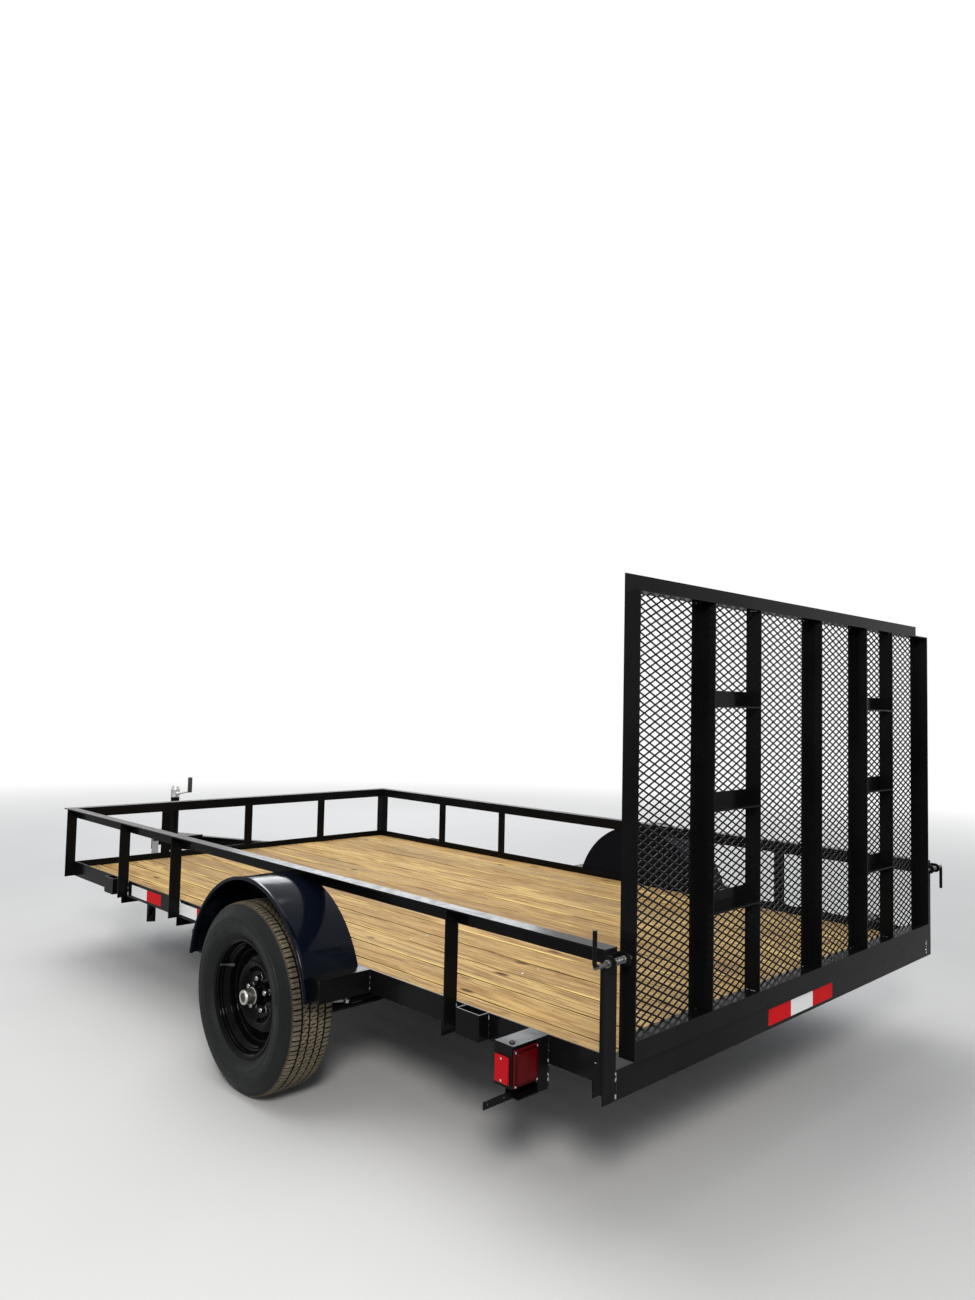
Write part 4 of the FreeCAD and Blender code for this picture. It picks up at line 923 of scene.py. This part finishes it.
# Welds
def bead(made, start, end, out, radius=0.0026, pitch=0.0042):
    """A weld: overlapping ripples from start to end, bulging along out."""
    start, end, out = Vector(start), Vector(end), Vector(out).normalized()
    length = (end - start).length
    along = (end - start).normalized()
    side = along.cross(out)
    count = max(2, int(length / pitch))
    rows = []
    for i in range(count * 3 + 1):
        share = i / (count * 3)
        swell = (1.0, 0.84, 0.93)[i % 3] * (1 + 0.18 * math.sin(i * 1.7) * rng.random())
        if i in (0, count * 3):
            swell = 0.35
        centre = start.lerp(end, share) + side * rng.uniform(-0.0004, 0.0004)
        rows.append([centre + radius * swell * (side * math.cos(a) + out * math.sin(a) * 0.8)
                     for a in (math.radians(k * 45) for k in range(8))])
    made.grid(rows)


# Side posts forward of the gate's rear plane; the right ones stand further forward.
POST_PLACES = (2.997, 2.453, 0.630)
RIGHT_SHIFT = 0.030


def side_welds(welds, sign):
    """Beads at the posts, outriggers, stake pockets and light bracket of one side."""
    face = sign * SIDE_FACE
    foot, head = 0.409, 0.481
    extra = RIGHT_SHIFT if sign < 0 else 0.0
    for heel in POST_PLACES:
        x0 = REAR + heel + extra
        x1 = x0 + ANGLE_LEG
        for x, out_x in ((x0, -1), (x1, 1)):
            bead(welds, (x, face, foot), (x, face, 0.482), (out_x, sign, 0))
            bead(welds, (x, face + sign * 0.0046, 0.7162), (x, face, 0.7162), (out_x, 0, -1),
                 0.0022)
        bead(welds, (x0, face + sign * 0.0048, 0.7622), (x0, face + sign * 0.050, 0.7622),
             (-1, 0, -1), 0.0022)
        bead(welds, (x0, face + sign * 0.002, 0.4832), (x1, face + sign * 0.002, 0.4832),
             (0, -sign, 1), 0.0022)
    # Rear corner posts to the rear member and the side member.
    bead(welds, (REAR_FACE, face, 0.381), (REAR_FACE, face, 0.452), (-1, 0, 0), 0.0030)
    bead(welds, (REAR + 0.0778, face, foot), (REAR + 0.0778, face, head), (1, sign, 0))
    bead(welds, (REAR + 0.034, face - sign * 0.001, 0.4553),
         (REAR + 0.100, face - sign * 0.001, 0.4553), (0, sign, 1), 0.0022)
    # Outriggers and stake pockets to the side members.
    for x0, x1 in ((1.0608, 1.137), (1.857, 1.9332), (0.490, 0.590), (3.085, 3.185)):
        for x, out_x in ((x0, -1), (x1, 1)):
            bead(welds, (REAR + x, face, foot), (REAR + x, face, head), (out_x, sign, 0))
    # Light brackets.
    bead(welds, (REAR + 0.257, face, 0.345), (REAR + 0.257, face, 0.478), (-1, sign, 0))


# Gate uprights: (place across in millimetres, way that the angle's flange points).
UPRIGHTS = [(626, 1), (367, -1), (-50, 1), (-412, 1), (-640, -1)]
GATE_BOTTOM, GATE_HEIGHT = 0.4716, 1.2714
# Rungs of the wheel runners, as shares of the gate's height.
RUNG_SHARES = (0.251, 0.482, 0.720)


def gate_seams():
    """Beads at both ends of each upright and of each rung."""
    beads = Build()
    for heel, way in UPRIGHTS:
        y = heel / 1000
        for z, up in ((0.5224, 1), (1.6922, -1)):
            bead(beads, (REAR + 0.002, y, z), (REAR + 0.046, y, z), (0, -way, up), 0.0024)
            bead(beads, (REAR + 0.046, y, z), (REAR + 0.046, y + way * 0.050, z), (-1, 0, up), 0.0024)
    for low_y, wide in ((0.367, 0.259), (-0.640, 0.228)):
        for share in RUNG_SHARES:
            z = GATE_BOTTOM + GATE_HEIGHT * share
            for y, out_y in ((low_y + 0.001, 1), (low_y + wide - 0.001, -1)):
                bead(beads, (REAR + 0.003, y, z), (REAR + 0.044, y, z), (0, out_y, -1), 0.0022)
    beads.piece("gate_welds", "gate", "frame_paint", [WELD], (), 0)


# Bolt heads and grommets
def bolt(made, place, axis, radius=0.009, high=0.008):
    """A washer and a six-sided head."""
    axis = Vector(axis).normalized()
    place = Vector(place)
    made.turned(place, axis, [(0.0, -0.001), (radius * 1.35, -0.001), (radius * 1.35, 0.0015),
                              (radius, 0.0016)], 0, 24)
    made.turned(place, axis, [(radius * 1.12, 0.001), (radius * 1.12, high - 0.001),
                              (radius * 0.95, high), (0.0, high)], 0, 6)


def fastener_side(fasteners, sign):
    """Bolts of a fender and the coupler, and the grommet over a light box."""
    for x in (0.320, -0.320):
        bolt(fasteners, (REAR + WHEEL_PLACE + x, sign * 1.0492, 0.355), (0, sign, 0))
    bolt(fasteners, (REAR + 1.177, sign * 1.0492, 0.393), (0, sign, 0))
    for x in (4.790, 4.840):
        bolt(fasteners, (REAR + x, sign * 0.030, 0.4130), (0, 0, 1), 0.008, 0.007)
    # Rubber grommet where the light's wiring comes out.
    fasteners.turned((REAR + 0.283, sign * 1.158, 0.4832), (0, 0, 1),
                     [(0.0, -0.001), (0.0085, -0.001), (0.0085, 0.002), (0.0065, 0.0042),
                      (0.0040, 0.0042), (0.0034, 0.0015), (0.0, 0.0015)], 1, 20)


# Floor, world, lamps and camera
def lay_floor():
    """A plain pale floor."""
    half, level = 60, -0.0005
    mesh = bpy.data.meshes.new("floor")
    mesh.from_pydata([(-half, -half, level), (half, -half, level), (half, half, level),
                      (-half, half, level)], [], [(0, 1, 2, 3)])
    floor = add_object("floor", mesh)
    ground = Shader("floor", Roughness=0.9, Specular_IOR_Level=0.0)
    ground.colour(ground.ramp(ground.noise(0.8, 3.0), (0.3, 0.55), (0.7, 0.58)))
    # Far from the trailer the floor fades into the white backdrop.
    distance = ground.node("VectorMath")
    distance.operation = "LENGTH"
    ground.link(ground.place, distance.inputs[0])
    fade = ground.ramp(ground.math("MULTIPLY", distance.outputs["Value"], 0.05), (0.17, 0.0),
                       (0.55, 1.0))
    floor_ray = ground.node("LightPath")
    glow = ground.node("Emission", Strength=1.0)
    cover = ground.node("MixShader")
    ground.link(ground.math("MULTIPLY", fade, floor_ray.outputs["Is Camera Ray"]),
                cover.inputs["Fac"])
    ground.link(ground.main.outputs["BSDF"], cover.inputs[1])
    ground.link(glow.outputs["Emission"], cover.inputs[2])
    ground.link(cover.outputs["Shader"], ground.tree.nodes["Material Output"].inputs["Surface"])
    mesh.materials.append(ground.material)


def light_world():
    """Soft pale light all round; camera, glossy and transmission rays see plain white."""
    world = bpy.data.worlds.new("studio")
    bpy.context.scene.world = world
    world.use_nodes = True
    tree = world.node_tree
    tree.nodes.clear()
    out = new_node(tree, "OutputWorld")
    blend = new_node(tree, "MixShader")
    soft = new_node(tree, "Background", Color=(0.93, 0.96, 1.0, 1), Strength=0.55)
    white = new_node(tree, "Background", Color=(1, 1, 1, 1), Strength=1.0)
    ray = new_node(tree, "LightPath")
    seen = ray.outputs["Is Camera Ray"]
    for kind in ("Is Glossy Ray", "Is Transmission Ray"):
        either = new_node(tree, "Math")
        either.operation = "MAXIMUM"
        tree.links.new(seen, either.inputs[0])
        tree.links.new(ray.outputs[kind], either.inputs[1])
        seen = either.outputs["Value"]
    tree.links.new(seen, blend.inputs["Fac"])
    tree.links.new(soft.outputs["Background"], blend.inputs[1])
    tree.links.new(white.outputs["Background"], blend.inputs[2])
    tree.links.new(blend.outputs["Shader"], out.inputs["Surface"])


def lamp(name, place, aim, size, power, colour):
    """A rectangular lamp at place, turned to shine at aim."""
    light = bpy.data.lights.new(name, "AREA")
    light.shape = "RECTANGLE"
    light.size, light.size_y = size
    light.energy = power
    light.color = colour
    made = add_object(name, light)
    made.location = place
    made.rotation_euler = (Vector(aim) - Vector(place)).to_track_quat("-Z", "Y").to_euler()


def place_camera():
    """The camera of the photograph, by its three angles, focal length and place."""
    azimuth, pitch, roll = math.radians(-44.321), math.radians(3.285), math.radians(1.243)
    forward = Vector((math.cos(azimuth) * math.cos(pitch), math.sin(azimuth) * math.cos(pitch),
                      math.sin(pitch)))
    right = forward.cross(Vector((0, 0, 1))).normalized()
    up = right.cross(forward)
    right, up = (right * math.cos(roll) + up * math.sin(roll),
                 up * math.cos(roll) - right * math.sin(roll))
    camera = add_object("camera", bpy.data.cameras.new("camera"))
    camera.data.lens = 25.389
    camera.data.sensor_width = 36.0
    camera.data.clip_end = 200.0
    camera.matrix_world = Matrix((
        (right.x, up.x, -forward.x, -3.926),
        (right.y, up.y, -forward.y, 2.9701),
        (right.z, up.z, -forward.z, 1.3868),
        (0, 0, 0, 1)))
    bpy.context.scene.camera = camera


# Every piece, in the order that the random draws need
planks()
deck_screws()
for side, sign in SIDES:
    tyre(side)
    wheel(side, sign)
expanded_sheet()
for side, sign in SIDES:
    fender(side, sign)
both_sides(lens_pair).piece("lamp_lenses", "chassis", "red_lens", [LENS, ZINC, SIDE_LENS],
                            ["lenses"], 30.0)
both_sides(latch_side).piece("latch_detail", "chassis", "bright_zinc",
                             [FRAME_PAINT, DULL_STEEL, SPRING], ["gate_latches"], 35.0)
jack_head()
reflective_tape()
both_sides(side_welds).piece("weld_beads", "chassis", "frame_paint", [WELD], (), 0)
gate_seams()
both_sides(fastener_side).piece("bolt_heads", "chassis", "bright_zinc", [ZINC, PLUG], (), 30.0)

lay_floor()
light_world()
lamp("overhead", (0.5, 0.5, 6.0), (0, 0, 0.4), (7, 5), 300, (1.0, 0.985, 0.96))
lamp("key", (-5.2, 4.2, 3.7), (-0.6, 0, 0.5), (1.2, 1.2), 230, (1.0, 0.97, 0.93))
lamp("rim", (5.5, -4.5, 3.5), (0, 0, 0.6), (4, 2.5), 120, (0.93, 0.96, 1.0))
place_camera()
bpy.context.scene.view_settings.view_transform = "Standard"
